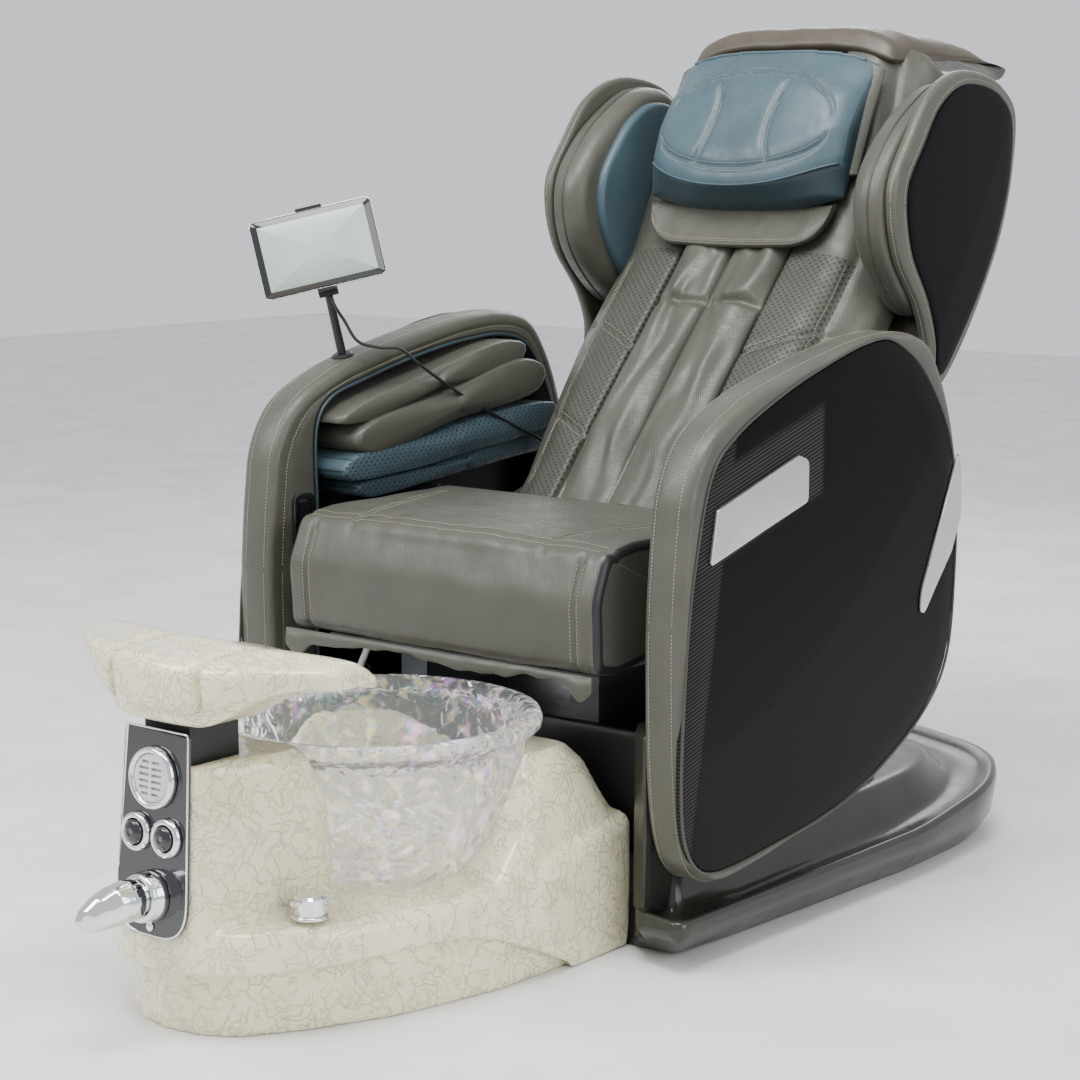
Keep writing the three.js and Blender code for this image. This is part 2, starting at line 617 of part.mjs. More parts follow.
const armParts = {
  arm_frame: [armFrame(), 'leather'],
  arm_panel: [sideSlab(ARM_PANEL_OUTLINE, ARM_PANEL_X, ARM_OUTER_X - 0.3, 2), 'blackPanel'],
  arm_plate: [sideSlab(PLATE_OUTLINE, ARM_OUTER_X, ARM_OUTER_X + 5, 1.5), 'silver'],
  arm_strip: [sideSlab(STRIP_OUTLINE, ARM_OUTER_X + GAP, ARM_OUTER_X + 4, 1), 'silver'],
  arm_upper_pad: [sideSlab(UPPER_PAD, ARM_PAD_INNER_X, ARM_PANEL_X - 1, 12), 'leather'],
  arm_lower_pad: [sideSlab(LOWER_PAD, ARM_PAD_INNER_X, ARM_PANEL_X - 1, 10), 'blueLeather'],
};
for (const [name, [geometry, finish]] of Object.entries(armParts)) {
  add(`${name}_left`, geometry, finish);
  add(`${name}_right`, mirrored(geometry), finish);
}

// Rocker switch on the inner face of the right arm's front post.
const SWITCH = along(-ARM_INNER_X + 0.5, -148, 545);
const bezelOutline = roundedOutline([[-22, -41, 14], [22, -41, 14], [22, 41, 14], [-22, 41, 14]], 3);
const bezelHole = roundedOutline([[-15, -33, 9], [15, -33, 9], [15, 33, 9], [-15, 33, 9]], 3);
const bezel = cut(sideSlab(bezelOutline, 0, 6, 1), sideSlab(bezelHole, -1, 10));
add('arm_switch_bezel', bezel, 'blackTrim').position.copy(SWITCH);
const rockerOutline = [[-28, 3], [28, 3], [28, 8], [12, 5.6], [0, 5.2], [-12, 5.6], [-28, 8]];
const rocker = extruded(rockerOutline.map(([a, b]) => [b, a]), 22, 0);
add('arm_switch', rocker.rotateX(Math.PI / 2).translate(0, 11, 0), 'blackTrim').position.copy(SWITCH);

// ---------------------------------------------------------------- seat
function hingeArc(radius, fromDegrees, toDegrees, steps) {
  const points = [];
  for (let k = 0; k <= steps; k++) {
    const a = THREE.MathUtils.degToRad(fromDegrees + (toDegrees - fromDegrees) * (k / steps));
    points.push([HINGE_Y + radius * Math.cos(a), HINGE_Z + radius * Math.sin(a)]);
  }
  return points;
}

const hingeRod = (x0, x1, radius, sides) => rod(
  along(x0, HINGE_Y, HINGE_Z), along(x1, HINGE_Y, HINGE_Z), radius, radius, sides);

const SEAT_PROFILE = roundedOutline([
  [150, 573], [-150, 574, 40], [-214, 566, 40], [-240, 500, 60], [-236, 408, 24], [-190, 396, 20], [60, 424, 10],
  [150, 440]], 3);
const hingeRoom = hingeRod(-400, 400, SEAT_REAR_RADIUS, 32);
add('seat_cushion', cut(sideSlab(SEAT_PROFILE, -SEAT_HALF_WIDTH, SEAT_HALF_WIDTH, 10), hingeRoom), 'leather');

const apronOutline = roundedOutline([
  [-275, 404, 8], [275, 404, 8], [283, 362, 6], [262, 376, 20], [0, 388, 200], [-262, 376, 20], [-283, 362, 6]], 2);
const apron = facing(extruded(apronOutline, 4, 0)).translate(0, -242, 0);
add('seat_apron', apron, 'leather');

function seatFrame() {
  const pan = box(-250, 250, -185, 195, 379, 390);
  const rearBar = box(-281, 281, 112, 190, 379, 390);
  const pieces = [pan, rearBar];
  for (const side of [-1, 1]) {
    const [x0, x1] = [side * 135, side * 185].sort((a, b) => a - b);
    pieces.push(box(x0, x1, -100, 190, HOUSING_TOP_Z + GAP, 384));
    const ear = sideSlab([[118, 380], [184, 380], ...hingeArc(28, -10, 190, 8)], 271, 280.5);
    const pin = hingeRod(254, 275, HINGE_RADIUS, 20);
    pieces.push(side > 0 ? ear : mirrored(ear), side > 0 ? pin : mirrored(pin));
  }
  return join(...pieces);
}
add('seat_frame', seatFrame(), 'steel');

const LEVER_PIVOT = along(-205, -150, 372);
const lever = join(
  rod(along(-217, LEVER_PIVOT.y, LEVER_PIVOT.z), along(-193, LEVER_PIVOT.y, LEVER_PIVOT.z), 6),
  rod(LEVER_PIVOT, along(-238, -150, 306), 5, 5, 12));
add('seat_lever', lever, 'greyPlastic');

// ---------------------------------------------------------------- back
// s runs up the middle of the back's face and n out of it, towards the sitter.
function backPoint(x, s, n) {
  const upper = s > BACK_BEND;
  const corner = new THREE.Vector2(HINGE_Y, HINGE_Z + BACK_END_RADIUS);
  if (upper) {
    corner.addScaledVector(BACK_LOWER_DIR, BACK_BEND);
  }
  const run = upper ? s - BACK_BEND : s;
  const lean = THREE.MathUtils.smoothstep(s, BACK_BEND - BEND_BLEND, BACK_BEND + BEND_BLEND);
  const direction = upper ? BACK_UPPER_DIR : BACK_LOWER_DIR;
  const face = BACK_LOWER_DIR.clone().lerp(BACK_UPPER_DIR, lean).normalize();
  const y = corner.x + direction.x * run - face.y * n;
  const z = corner.y + direction.y * run + face.x * n;
  return [x, y, z];
}

const backRing = (half, s, tilt = 0) => roundedOutline(wholeOutline(half), 2)
  .map(([x, n]) => backPoint(x, s + tilt * -n, n));

function cushionHalf(width, depth = CUSHION_DEPTH, recess = 72) {
  return [
    [0, -COVER_DEPTH], [COVER_HALF_WIDTH + 2, -COVER_DEPTH, 2], [COVER_HALF_WIDTH + 4, -10, 4], [width * 0.72, -20, 50],
    [width, -recess, 20], [width, -depth + 14, 10], [width * 0.94, -depth, 10], [0, -depth]];
}

const backCushion = loft([
  backRing(cushionHalf(200, 70, 50), -14),
  backRing(cushionHalf(218, 96, 60), 0),
  backRing(cushionHalf(228), 70),
  backRing(cushionHalf(244), 180),
  backRing(cushionHalf(262), 330),
  backRing(cushionHalf(265), BACK_BEND - BEND_BLEND),
  backRing(cushionHalf(265), BACK_BEND),
  backRing(cushionHalf(264), BACK_BEND + BEND_BLEND),
  backRing(cushionHalf(255), BACK_BEND + 200),
  backRing(cushionHalf(235), BACK_BEND + BACK_TOP - 20),
  backRing(cushionHalf(215, CUSHION_DEPTH - 8, 66), BACK_BEND + BACK_TOP)]);
add('back_cushion', backCushion, 'leather');

function shellHalf(width, depth) {
  return [
    [0, -CUSHION_DEPTH - GAP], [width, -CUSHION_DEPTH - GAP, 6], [width, -CUSHION_DEPTH - 50, 30],
    [width * 0.82, -depth, 50], [0, -depth - 4]];
}

function backShell() {
  const narrow = loft([
    backRing(shellHalf(250, 170), 40),
    backRing(shellHalf(282, 210), 70),
    backRing(shellHalf(283, SHELL_DEPTH), 200),
    backRing(shellHalf(283, SHELL_DEPTH), BACK_BEND - BEND_BLEND),
    backRing(shellHalf(287, SHELL_DEPTH), BACK_BEND),
    backRing(shellHalf(287, SHELL_DEPTH), BACK_BEND + BEND_BLEND),
    backRing(shellHalf(286, SHELL_DEPTH - 10), BACK_BEND + 200),
    backRing(shellHalf(276, SHELL_DEPTH - 35), BACK_BEND + BACK_TOP - 40),
    backRing(shellHalf(250, SHELL_DEPTH - 55), BACK_BEND + BACK_TOP)]);
  const wide = loft([
    backRing(shellHalf(WING_SHELL_X - GAP, 205), BACK_BEND - BEND_BLEND),
    backRing(shellHalf(WING_SHELL_X - GAP, 215), BACK_BEND),
    backRing(shellHalf(WING_SHELL_X - GAP, 215), BACK_BEND + BEND_BLEND),
    backRing(shellHalf(WING_SHELL_X - GAP, 190), BACK_BEND + 200)]);
  const ear = cut(
    sideSlab([[200, 458], [330, 500], [330, 570], [230, 540], ...hingeArc(24, 100, 290, 8)], 257, 269),
    hingeRod(250, 275, HINGE_RADIUS + 0.6, 20));
  return join(narrow, wide, ear, mirrored(ear));
}
add('back_shell', backShell(), 'darkLeather');

const coverHalf = (width, rise) => [[0, rise], [width * 0.8, rise - 2, 8], [width, -10, 6],
  [width, -COVER_DEPTH + GAP, 2], [0, -COVER_DEPTH + GAP]];
const massageCover = loft([
  backRing(coverHalf(92, -6), 6),
  backRing(coverHalf(COVER_HALF_WIDTH, 3), 60),
  backRing(coverHalf(COVER_HALF_WIDTH, 6), 270),
  backRing(coverHalf(COVER_HALF_WIDTH, 3), BACK_BEND - BEND_BLEND),
  backRing(coverHalf(COVER_HALF_WIDTH, 0), BACK_BEND)]);
add('massage_cover', massageCover, 'darkLeather');

const flapHalf = (width) => [[0, 13], [width, 7, 5], [width, 2, 2], [0, 1]];
add('neck_flap', loft([
  backRing(flapHalf(160), BACK_BEND + 2), backRing(flapHalf(166), BACK_BEND + 24),
  backRing(flapHalf(160), BACK_BEND + 44)]), 'leather');

function pillow() {
  const stations = [-172, -160, -120, -60, 0, 60, 120, 160, 172];
  return loft(stations.map((x) => {
    const t = Math.abs(x) / 172;
    const puff = Math.sqrt(1 - 0.75 * t ** 4);
    const low = BACK_BEND + 50 + 22 * t ** 3;
    const high = BACK_BEND + 318 - 14 * t ** 3;
    return roundedOutline([
      [low, 6, 10], [low, 24 * puff, 12], [low + 36, 16 + 44 * puff, 30], [high - 90, 10 + 48 * puff, 60],
      [high, 22 * puff, 20], [high, 4, 6]], 3).map(([s, n]) => backPoint(x, s, n));
  }));
}
add('pillow', pillow(), 'blueLeather');

const flapProfile = roundedOutline([
  [612, 1267, 4], [640, 1286, 20], [720, 1292, 60], [850, 1278, 60], [952, 1236, 4], [944, 1224, 4], [846, 1262, 50],
  [720, 1276, 60], [650, 1270, 20], [624, 1258, 4]], 3);
add('head_flap', sideSlab(flapProfile, -240, 240), 'darkLeather');

// ---------------------------------------------------------------- head wings
const WING_OUTLINE = smoothOutline([
  [429, 1000], [432, 1051], [473, 1112], [530, 1178], [608, 1213], [690, 1213], [755, 1195], [800, 1158],
  [798, 1060], [770, 970], [720, 885], [640, 785], [575, 728], [552, 722], [541, 752], [540, 797], [514, 856],
  [452, 932]], 40);
const WING_PANEL_OUTLINE = smoothOutline([
  [462, 1005], [466, 1046], [505, 1100], [552, 1158], [615, 1192], [686, 1194], [745, 1178], [782, 1145],
  [782, 1060], [752, 970], [703, 888], [630, 800], [578, 750], [562, 752], [560, 800], [535, 862], [480, 940]], 34);
const WING_PAD_OUTLINE = smoothOutline([
  [444, 1000], [450, 1052], [490, 1110], [540, 1160], [612, 1194], [684, 1192], [716, 1160], [680, 1070],
  [636, 985], [592, 905], [556, 850], [528, 866], [464, 936]], 28);
const WING_LINER_OUTLINE = smoothOutline([
  [468, 1000], [474, 1050], [512, 1104], [556, 1146], [616, 1172], [672, 1162], [664, 1080], [626, 990],
  [584, 912], [560, 870], [538, 880], [488, 944]], 26);

const wingParts = {
  wing_shell: [cut(
    sideSlab(WING_OUTLINE, WING_SHELL_X, WING_OUTER_X - 1, 5),
    sideSlab(grown(WING_PANEL_OUTLINE, 0.5), WING_PANEL_X, WING_OUTER_X + 5)), 'leather'],
  wing_panel: [sideSlab(WING_PANEL_OUTLINE, WING_PANEL_X + GAP, WING_OUTER_X, 1.5), 'blackPanel'],
  wing_pad: [sideSlab(WING_PAD_OUTLINE, WING_PAD_X, WING_SHELL_X - GAP, 7), 'leather'],
  wing_liner: [sideSlab(WING_LINER_OUTLINE, WING_LINER_X, WING_PAD_X - GAP, 7), 'blueLeather'],
};
for (const [name, [geometry, finish]] of Object.entries(wingParts)) {
  add(`${name}_left`, geometry, finish);
  add(`${name}_right`, mirrored(geometry), finish);
}

// ---------------------------------------------------------------- tablet on the right arm
const flange = lathe([[0, 0], [17, 0], [17, 3], [12, 6], [0, 6]], 24);
const mountedFlange = add('post_flange', flange, 'blackTrim');
mountedFlange.position.copy(POST_FOOT);
mountedFlange.rotation.x = Math.atan2(POST_FOOT.y - POST_TOP.y, POST_TOP.z - POST_FOOT.z);
add('tablet_post', join(
  rod(POST_FOOT.clone().lerp(POST_TOP, 0.066), POST_TOP, POST_RADIUS, POST_RADIUS - 1),
  new THREE.SphereGeometry(BALL_RADIUS, 12, 8).translate(POST_TOP.x, POST_TOP.y, POST_TOP.z)), 'blackTrim');

// The holder and tablet share a frame with X along the screen, Z up it and -Y out of it.
const tabletFrame = new THREE.Group();
tabletFrame.position.copy(TABLET_CENTRE);
tabletFrame.rotation.set(
  THREE.MathUtils.degToRad(-9), THREE.MathUtils.degToRad(-13.3), THREE.MathUtils.degToRad(38.5), 'ZXY');
chair.add(tabletFrame);

const half = TABLET_HEIGHT / 2;
const tabletOutline = roundedOutline([
  [-TABLET_WIDTH / 2, -half, 9], [TABLET_WIDTH / 2, -half, 9], [TABLET_WIDTH / 2, half, 9],
  [-TABLET_WIDTH / 2, half, 9]], 3);
add('tablet', facing(extruded(tabletOutline, TABLET_DEPTH, 2)).translate(0, TABLET_DEPTH / 2, 0), 'screen', tabletFrame);

const holder = join(
  box(-15, 15, 8.5, 16.5, -72, half + 6),
  box(-20, 20, -8, 14, half + GAP + 0.2, half + 5),
  box(-14, 14, -10, 14, -half - 5, -half - GAP - 0.2));
add('tablet_holder', holder, 'blackTrim', tabletFrame);

// ---------------------------------------------------------------- tablet cable
// It leaves a strain relief under the tablet, lies over the arm and drops behind the arm pads.
const CABLE_ROUTE = [
  [-356, -62, 878], [-352, -58, 862], [-349, -40, 838], [-338, -22, 806], [-318, 6, 796], [-300, 30, 794],
  [-289, 60, 770], [-287.5, 120, 735], [-287.5, 180, 704], [-287.5, 240, 676], [-287.5, 300, 650],
  [-287.5, 352, 628], [-287.5, 392, 606], [-287.5, 424, 580]];

const cableCurve = new THREE.CatmullRomCurve3(CABLE_ROUTE.map((p) => along(...p)), false, 'centripetal');
const cableSection = new THREE.Shape();
cableSection.absarc(0, 0, CABLE_RADIUS, 0, 2 * Math.PI);
const cable = new THREE.ExtrudeGeometry(cableSection, {
  steps: 44, curveSegments: 4, bevelEnabled: false, extrudePath: cableCurve,
});
add('tablet_cable', cable, 'rubber');

export default chair;
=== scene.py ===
"""Looks of the pedicure spa chair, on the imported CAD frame.

Lengths are written in millimetres and turned into metres when a mesh is made.
X is the sitter's left, Y the back of the chair and Z up."""

import json
import math

import bmesh
import bpy
from mathutils import Matrix, Vector, noise


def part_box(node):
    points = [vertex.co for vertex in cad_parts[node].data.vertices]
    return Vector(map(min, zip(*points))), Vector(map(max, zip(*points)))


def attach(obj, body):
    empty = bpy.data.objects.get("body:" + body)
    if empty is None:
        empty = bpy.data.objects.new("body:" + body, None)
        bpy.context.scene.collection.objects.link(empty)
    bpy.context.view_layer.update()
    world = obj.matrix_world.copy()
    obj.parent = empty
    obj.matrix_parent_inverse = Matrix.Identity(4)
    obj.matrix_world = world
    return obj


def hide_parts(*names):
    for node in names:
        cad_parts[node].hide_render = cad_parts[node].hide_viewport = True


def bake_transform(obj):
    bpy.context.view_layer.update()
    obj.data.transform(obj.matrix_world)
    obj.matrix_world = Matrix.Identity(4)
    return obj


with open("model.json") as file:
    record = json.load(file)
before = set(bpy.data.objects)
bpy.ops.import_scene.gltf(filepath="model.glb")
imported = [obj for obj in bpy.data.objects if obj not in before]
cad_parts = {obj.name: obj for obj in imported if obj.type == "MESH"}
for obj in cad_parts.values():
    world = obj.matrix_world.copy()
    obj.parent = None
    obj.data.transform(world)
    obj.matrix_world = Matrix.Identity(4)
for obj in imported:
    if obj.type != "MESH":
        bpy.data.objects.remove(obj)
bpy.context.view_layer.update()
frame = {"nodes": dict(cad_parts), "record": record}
MM = 0.001
SIDES = ((1, "left"), (-1, "right"))

# ---- camera, made first because the cable is judged by it
camera_data = bpy.data.cameras.new("camera")
camera_data.sensor_width = 36
camera_data.lens = 81.67
camera_data.clip_end = 50
camera = bpy.data.objects.new("camera", camera_data)
bpy.context.collection.objects.link(camera)
camera.location = (2.2122, -2.7811, 1.1052)
camera.rotation_euler = (math.radians(80.8), 0, math.radians(38.5))
bpy.context.scene.camera = camera


# ---- small maths
def lerp(a, b, t):
    return a + (b - a) * t


def smoothstep(x, low, high):
    t = min(1.0, max(0.0, (x - low) / (high - low)))
    return t * t * (3 - 2 * t)


def spline(points, count, closed=False):
    """Evenly spaced points on a smooth curve through a few points of any dimension."""
    pts = [Vector(p) for p in points]
    n = len(pts)
    dense = []
    spans = n if closed else n - 1
    for i in range(spans):
        p0 = pts[(i - 1) % n] if closed or i > 0 else pts[0] * 2 - pts[1]
        p1, p2 = pts[i], pts[(i + 1) % n]
        p3 = pts[(i + 2) % n] if closed or i + 2 < n else p2 * 2 - p1
        t1 = math.sqrt(max((p1 - p0).length, 1e-6))
        t2 = t1 + math.sqrt(max((p2 - p1).length, 1e-6))
        t3 = t2 + math.sqrt(max((p3 - p2).length, 1e-6))
        for k in range(24):
            t = lerp(t1, t2, k / 24)
            a1 = p0.lerp(p1, t / t1)
            a2 = p1.lerp(p2, (t - t1) / (t2 - t1))
            a3 = p2.lerp(p3, (t - t2) / (t3 - t2))
            b1 = a1.lerp(a2, t / t2)
            b2 = a2.lerp(a3, (t - t1) / (t3 - t1))
            dense.append(b1.lerp(b2, (t - t1) / (t2 - t1)))
    dense.append(pts[0].copy() if closed else pts[-1].copy())
    return resample(dense, count, closed)


def resample(points, count, closed=False):
    lengths = [0.0]
    for a, b in zip(points, points[1:]):
        lengths.append(lengths[-1] + (b - a).length)
    total = lengths[-1]
    steps = count if closed else count - 1
    out = []
    j = 0
    for i in range(count):
        target = total * i / steps
        while j + 2 < len(points) and lengths[j + 1] < target:
            j += 1
        span = max(lengths[j + 1] - lengths[j], 1e-9)
        out.append(points[j].lerp(points[j + 1], min(1.0, (target - lengths[j]) / span)))
    return out


def rounded(corners, steps=6):
    """A polygon's outline with each corner (u, v, radius) rounded."""
    out = []
    n = len(corners)
    for i, corner in enumerate(corners):
        here = Vector(corner[:2])
        before = Vector(corners[i - 1][:2]) - here
        after = Vector(corners[(i + 1) % n][:2]) - here
        radius = corner[2] if len(corner) > 2 else 0
        cosine = max(-1, min(1, before.dot(after) / before.length / after.length))
        wanted = radius / max(math.tan(math.acos(cosine) / 2), 1e-6)
        run = min(wanted, before.length * 0.48, after.length * 0.48)
        a = here + before.normalized() * run
        b = here + after.normalized() * run
        for k in range(steps + 1):
            t = k / steps
            out.append(a * (1 - t) ** 2 + here * 2 * t * (1 - t) + b * t * t)
    return out


def centre_of(outline):
    return sum(outline, Vector((0, 0))) / len(outline)


def polar(outline, centre, count):
    """The outline's points at even angles round a centre that sees all of it."""
    outline = resample(outline + outline[:1], 6 * count)
    rays = sorted((math.atan2(p.y - centre.y, p.x - centre.x), (p - centre).length) for p in outline)
    rays = [(rays[-1][0] - 2 * math.pi, rays[-1][1])] + rays + [(rays[0][0] + 2 * math.pi, rays[0][1])]
    out = []
    j = 0
    for i in range(count):
        angle = -math.pi + 2 * math.pi * i / count
        while rays[j + 1][0] < angle:
            j += 1
        (a0, r0), (a1, r1) = rays[j], rays[j + 1]
        r = lerp(r0, r1, (angle - a0) / max(a1 - a0, 1e-9))
        out.append(centre + Vector((math.cos(angle), math.sin(angle))) * r)
    return out


def crowded(half, steps):
    """Places from -half to half that crowd towards both ends."""
    return [half * math.sin(math.pi * (i / steps - 0.5)) for i in range(steps + 1)]


def inset(outline, centre, distance):
    return [p + (centre - p).normalized() * min(distance, (centre - p).length) for p in outline]


# ---- mesh makers
def finish_mesh(name, vertices, faces, materials, indices=None, subdivide=0):
    mesh = bpy.data.meshes.new(name)
    mesh.from_pydata([tuple(c * MM for c in v) for v in vertices], [], faces)
    for m in materials if isinstance(materials, (list, tuple)) else [materials]:
        mesh.materials.append(m)
    if indices:
        mesh.polygons.foreach_set("material_index", indices)
    mesh.polygons.foreach_set("use_smooth", [True] * len(mesh.polygons))
    work = bmesh.new()
    work.from_mesh(mesh)
    bmesh.ops.remove_doubles(work, verts=work.verts, dist=1e-6)
    bmesh.ops.recalc_face_normals(work, faces=work.faces)
    work.to_mesh(mesh)
    work.free()
    obj = bpy.data.objects.new(name, mesh)
    bpy.context.collection.objects.link(obj)
    if subdivide:
        modifier = obj.modifiers.new("subdivision", "SUBSURF")
        modifier.levels = modifier.render_levels = subdivide
    return obj


def loft(name, rings, materials, closed_loop=False, pick=None, subdivide=0):
    """A closed body through rings of 3D points; with closed_loop the last ring joins the first."""
    count = len(rings[0])
    vertices = [tuple(p) for ring in rings for p in ring]
    faces, indices = [], []
    last = len(rings) if closed_loop else len(rings) - 1
    for r in range(last):
        s = (r + 1) % len(rings)
        for i in range(count):
            j = (i + 1) % count
            faces.append((r * count + i, r * count + j, s * count + j, s * count + i))
            indices.append(pick(r, i) if pick else 0)
    if not closed_loop:
        for r in (0, len(rings) - 1):
            middle = sum((Vector(p) for p in rings[r]), Vector((0, 0, 0))) / count
            vertices.append(tuple(middle))
            for i in range(count):
                faces.append((r * count + i, r * count + (i + 1) % count, len(vertices) - 1))
                indices.append(pick(r, i) if pick else 0)
    return finish_mesh(name, vertices, faces, materials, indices, subdivide)


def lathe(name, profile, material, segments, where):
    """A profile of (radius, height) turned about the local Z axis, then placed."""
    rings = []
    for k in range(segments):
        a = 2 * math.pi * k / segments
        rings.append([where @ Vector((r * math.cos(a), r * math.sin(a), z)) for r, z in profile])
    return loft(name, rings, material, closed_loop=True)


def tube(name, points, radius, material, sides=10, closed=False):
    rings = []
    n = len(points)
    up = Vector((0.13, 0.2, 0.97))
    for i, p in enumerate(points):
        before = points[i - 1] if closed or i else points[0]
        after = points[(i + 1) % n] if closed or i + 1 < n else points[-1]
        ahead = (after - before).normalized()
        side = up.cross(ahead)
        side = side.normalized() if side.length > 1e-3 else Vector((1, 0, 0))
        lift = ahead.cross(side).normalized()
        rings.append([p + side * radius * math.cos(a) + lift * radius * math.sin(a)
                      for a in (2 * math.pi * k / sides for k in range(sides))])
    return loft(name, rings, material, closed_loop=closed)


def stitches(name, paths, material, length=3.2, pitch=5.0, radius=0.42):
    """Rows of thread along paths of 3D points, as one mesh of short rounded dashes."""
    vertices, faces = [], []
    for path in paths:
        total = sum((b - a).length for a, b in zip(path, path[1:]))
        count = max(2, int(total / pitch))
        points = resample(path, count * 2 + 1)
        for k in range(count):
            a, b = points[2 * k], points[2 * k + 1]
            ahead = (b - a).normalized()
            side = ahead.cross(Vector((0.21, 0.35, 0.91))).normalized()
            lift = ahead.cross(side)
            middle = (a + b) / 2
            base = len(vertices)
            for along, size in ((-0.5, 0.35), (-0.3, 1), (0.3, 1), (0.5, 0.35)):
                for q in range(6):
                    t = 2 * math.pi * q / 6
                    offset = side * math.cos(t) + lift * math.sin(t)
                    vertices.append(tuple(middle + ahead * along * length + offset * radius * size))
            for ring in range(3):
                here = base + ring * 6
                for q in range(6):
                    r = (q + 1) % 6
                    faces.append((here + q, here + r, here + 6 + r, here + 6 + q))
            faces.append(tuple(base + q for q in range(6)))
            faces.append(tuple(base + 18 + q for q in range(6)))
    return finish_mesh(name, vertices, faces, material)


def join_objects(name, objects):
    """Joins meshes into the first one."""
    bpy.ops.object.select_all(action="DESELECT")
    for o in objects:
        o.select_set(True)
    bpy.context.view_layer.objects.active = objects[0]
    bpy.ops.object.join()
    objects[0].name = name
    return objects[0]


# ---- materials
class Look:
    """A principled material with shorthand for adding nodes."""

    def __init__(self, name, **constants):
        self.material = bpy.data.materials.new(name)
        self.material.use_nodes = True
        self.nodes = self.material.node_tree.nodes
        self.links = self.material.node_tree.links
        self.surface = self.nodes["Principled BSDF"]
        for socket, value in constants.items():
            self.surface.inputs[socket.replace("_", " ")].default_value = value
        self.position = self.add("ShaderNodeTexCoord").outputs["Object"]

    def add(self, kind, **settings):
        node = self.nodes.new(kind)
        for key, value in settings.items():
            if hasattr(node, key):
                setattr(node, key, value)
            else:
                node.inputs[key].default_value = value
        return node

    def link(self, a, b):
        self.links.new(a, b)
        return b.node

    def maths(self, operation, a, b=None, c=None):
        node = self.add("ShaderNodeMath", operation=operation)
        for k, value in enumerate((a, b, c)):
            if value is None:
                continue
            if isinstance(value, (int, float)):
                node.inputs[k].default_value = value
            else:
                self.link(value, node.inputs[k])
        return node.outputs[0]

    def times(self, a, b):
        return self.maths("MULTIPLY", a, b)

    def wave(self, value, period):
        return self.maths("SINE", self.times(value, 2 * math.pi / period))

    def noise(self, scale, detail=3, distortion=0.0):
        node = self.add("ShaderNodeTexNoise", Scale=scale, Detail=detail, Distortion=distortion)
        self.link(self.position, node.inputs["Vector"])
        return node.outputs["Fac"]

    def dot(self, direction):
        node = self.add("ShaderNodeVectorMath", operation="DOT_PRODUCT")
        self.link(self.position, node.inputs[0])
        node.inputs[1].default_value = direction
        return node.outputs["Value"]

    def ramp(self, factor, *stops):
        node = self.add("ShaderNodeValToRGB")
        for element, (at, colour) in zip(node.color_ramp.elements, (stops[0], stops[-1])):
            element.position = at
            element.color = (*colour, 1)
        for at, colour in stops[1:-1]:
            node.color_ramp.elements.new(at).color = (*colour, 1)
        self.link(factor, node.inputs[0])
        return node.outputs["Color"]

    def span(self, value, low, high, to_low=0.0, to_high=1.0):
        node = self.add("ShaderNodeMapRange", interpolation_type="SMOOTHSTEP")
        self.link(value, node.inputs["Value"])
        for k, number in enumerate((low, high, to_low, to_high)):
            node.inputs[("From Min", "From Max", "To Min", "To Max")[k]].default_value = number
        return node.outputs["Result"]

    def mix(self, factor, a, b):
        node = self.add("ShaderNodeMix", data_type="RGBA")
        for k, value in ((0, factor), (6, a), (7, b)):
            if isinstance(value, (int, float)):
                node.inputs[k].default_value = value
            elif isinstance(value, tuple):
                node.inputs[k].default_value = (*value, 1)
            else:
                self.link(value, node.inputs[k])
        return node.outputs[2]

    def bump(self, height, distance, strength=1.0):
        node = self.add("ShaderNodeBump", Strength=strength, Distance=distance)
        self.link(height, node.inputs["Height"])
        if self.surface.inputs["Normal"].links:
            self.link(self.surface.inputs["Normal"].links[0].from_socket, node.inputs["Normal"])
        self.link(node.outputs["Normal"], self.surface.inputs["Normal"])

    def paint(self, colour):
        self.link(colour, self.surface.inputs["Base Color"])

    def rough(self, factor, low, high):
        self.link(self.span(factor, 0.3, 0.7, low, high), self.surface.inputs["Roughness"])


def shade(colour, k):
    """The colour k times as bright."""
    return tuple(min(1, c * k) for c in colour)


def fine_weave(look, period=0.0042):
    """Short dashes in staggered columns, as on woven-look vinyl."""
    across = look.wave(look.dot((1, 0.9, 0.25)), period)
    along = look.wave(look.dot((0.3, -0.35, 1)), period * 2.3)
    return look.maths("MULTIPLY_ADD", look.times(across, along), 0.5, 0.5)


def leather(name, colour, weave=0.45, roughness=0.40):
    """Soft vinyl leather: cloudy colour, wide wrinkles, fine grain and a woven-look print."""
    look = Look(name, Roughness=roughness, Specular_IOR_Level=0.45, Sheen_Weight=0.05, Sheen_Roughness=0.4)
    cloudy = look.noise(9, 5)
    woven = fine_weave(look)
    tone = look.ramp(cloudy, (0.3, shade(colour, 0.86)), (0.52, colour), (0.75, shade(colour, 1.14)))
    look.paint(look.mix(look.times(woven, weave * 0.4), tone, shade(colour, 0.55)))
    look.rough(look.noise(60, 4), roughness - 0.07, roughness + 0.08)
    look.bump(look.noise(14, 4, 0.6), 0.0012)
    look.bump(look.noise(420, 3), 0.0003, 0.6)
    look.bump(woven, 0.0004, weave)
    return look


def perforated(name, colour, u, v, pitch=0.0115, size=(0.62, 0.86)):
    """Leather with staggered rows of small holes along u and v."""
    look = leather(name, colour, 0.15, 0.5)
    a, b = (look.wave(look.maths(way, look.dot(u), look.dot(v)), 2 * pitch) for way in ("ADD", "SUBTRACT"))
    hole = look.span(look.maths("ABSOLUTE", look.times(a, b)), *size)
    tone = look.surface.inputs["Base Color"].links[0].from_socket
    look.paint(look.mix(hole, tone, shade(colour, 0.35)))
    look.bump(look.maths("SUBTRACT", 1.0, hole), 0.0008)
    return look


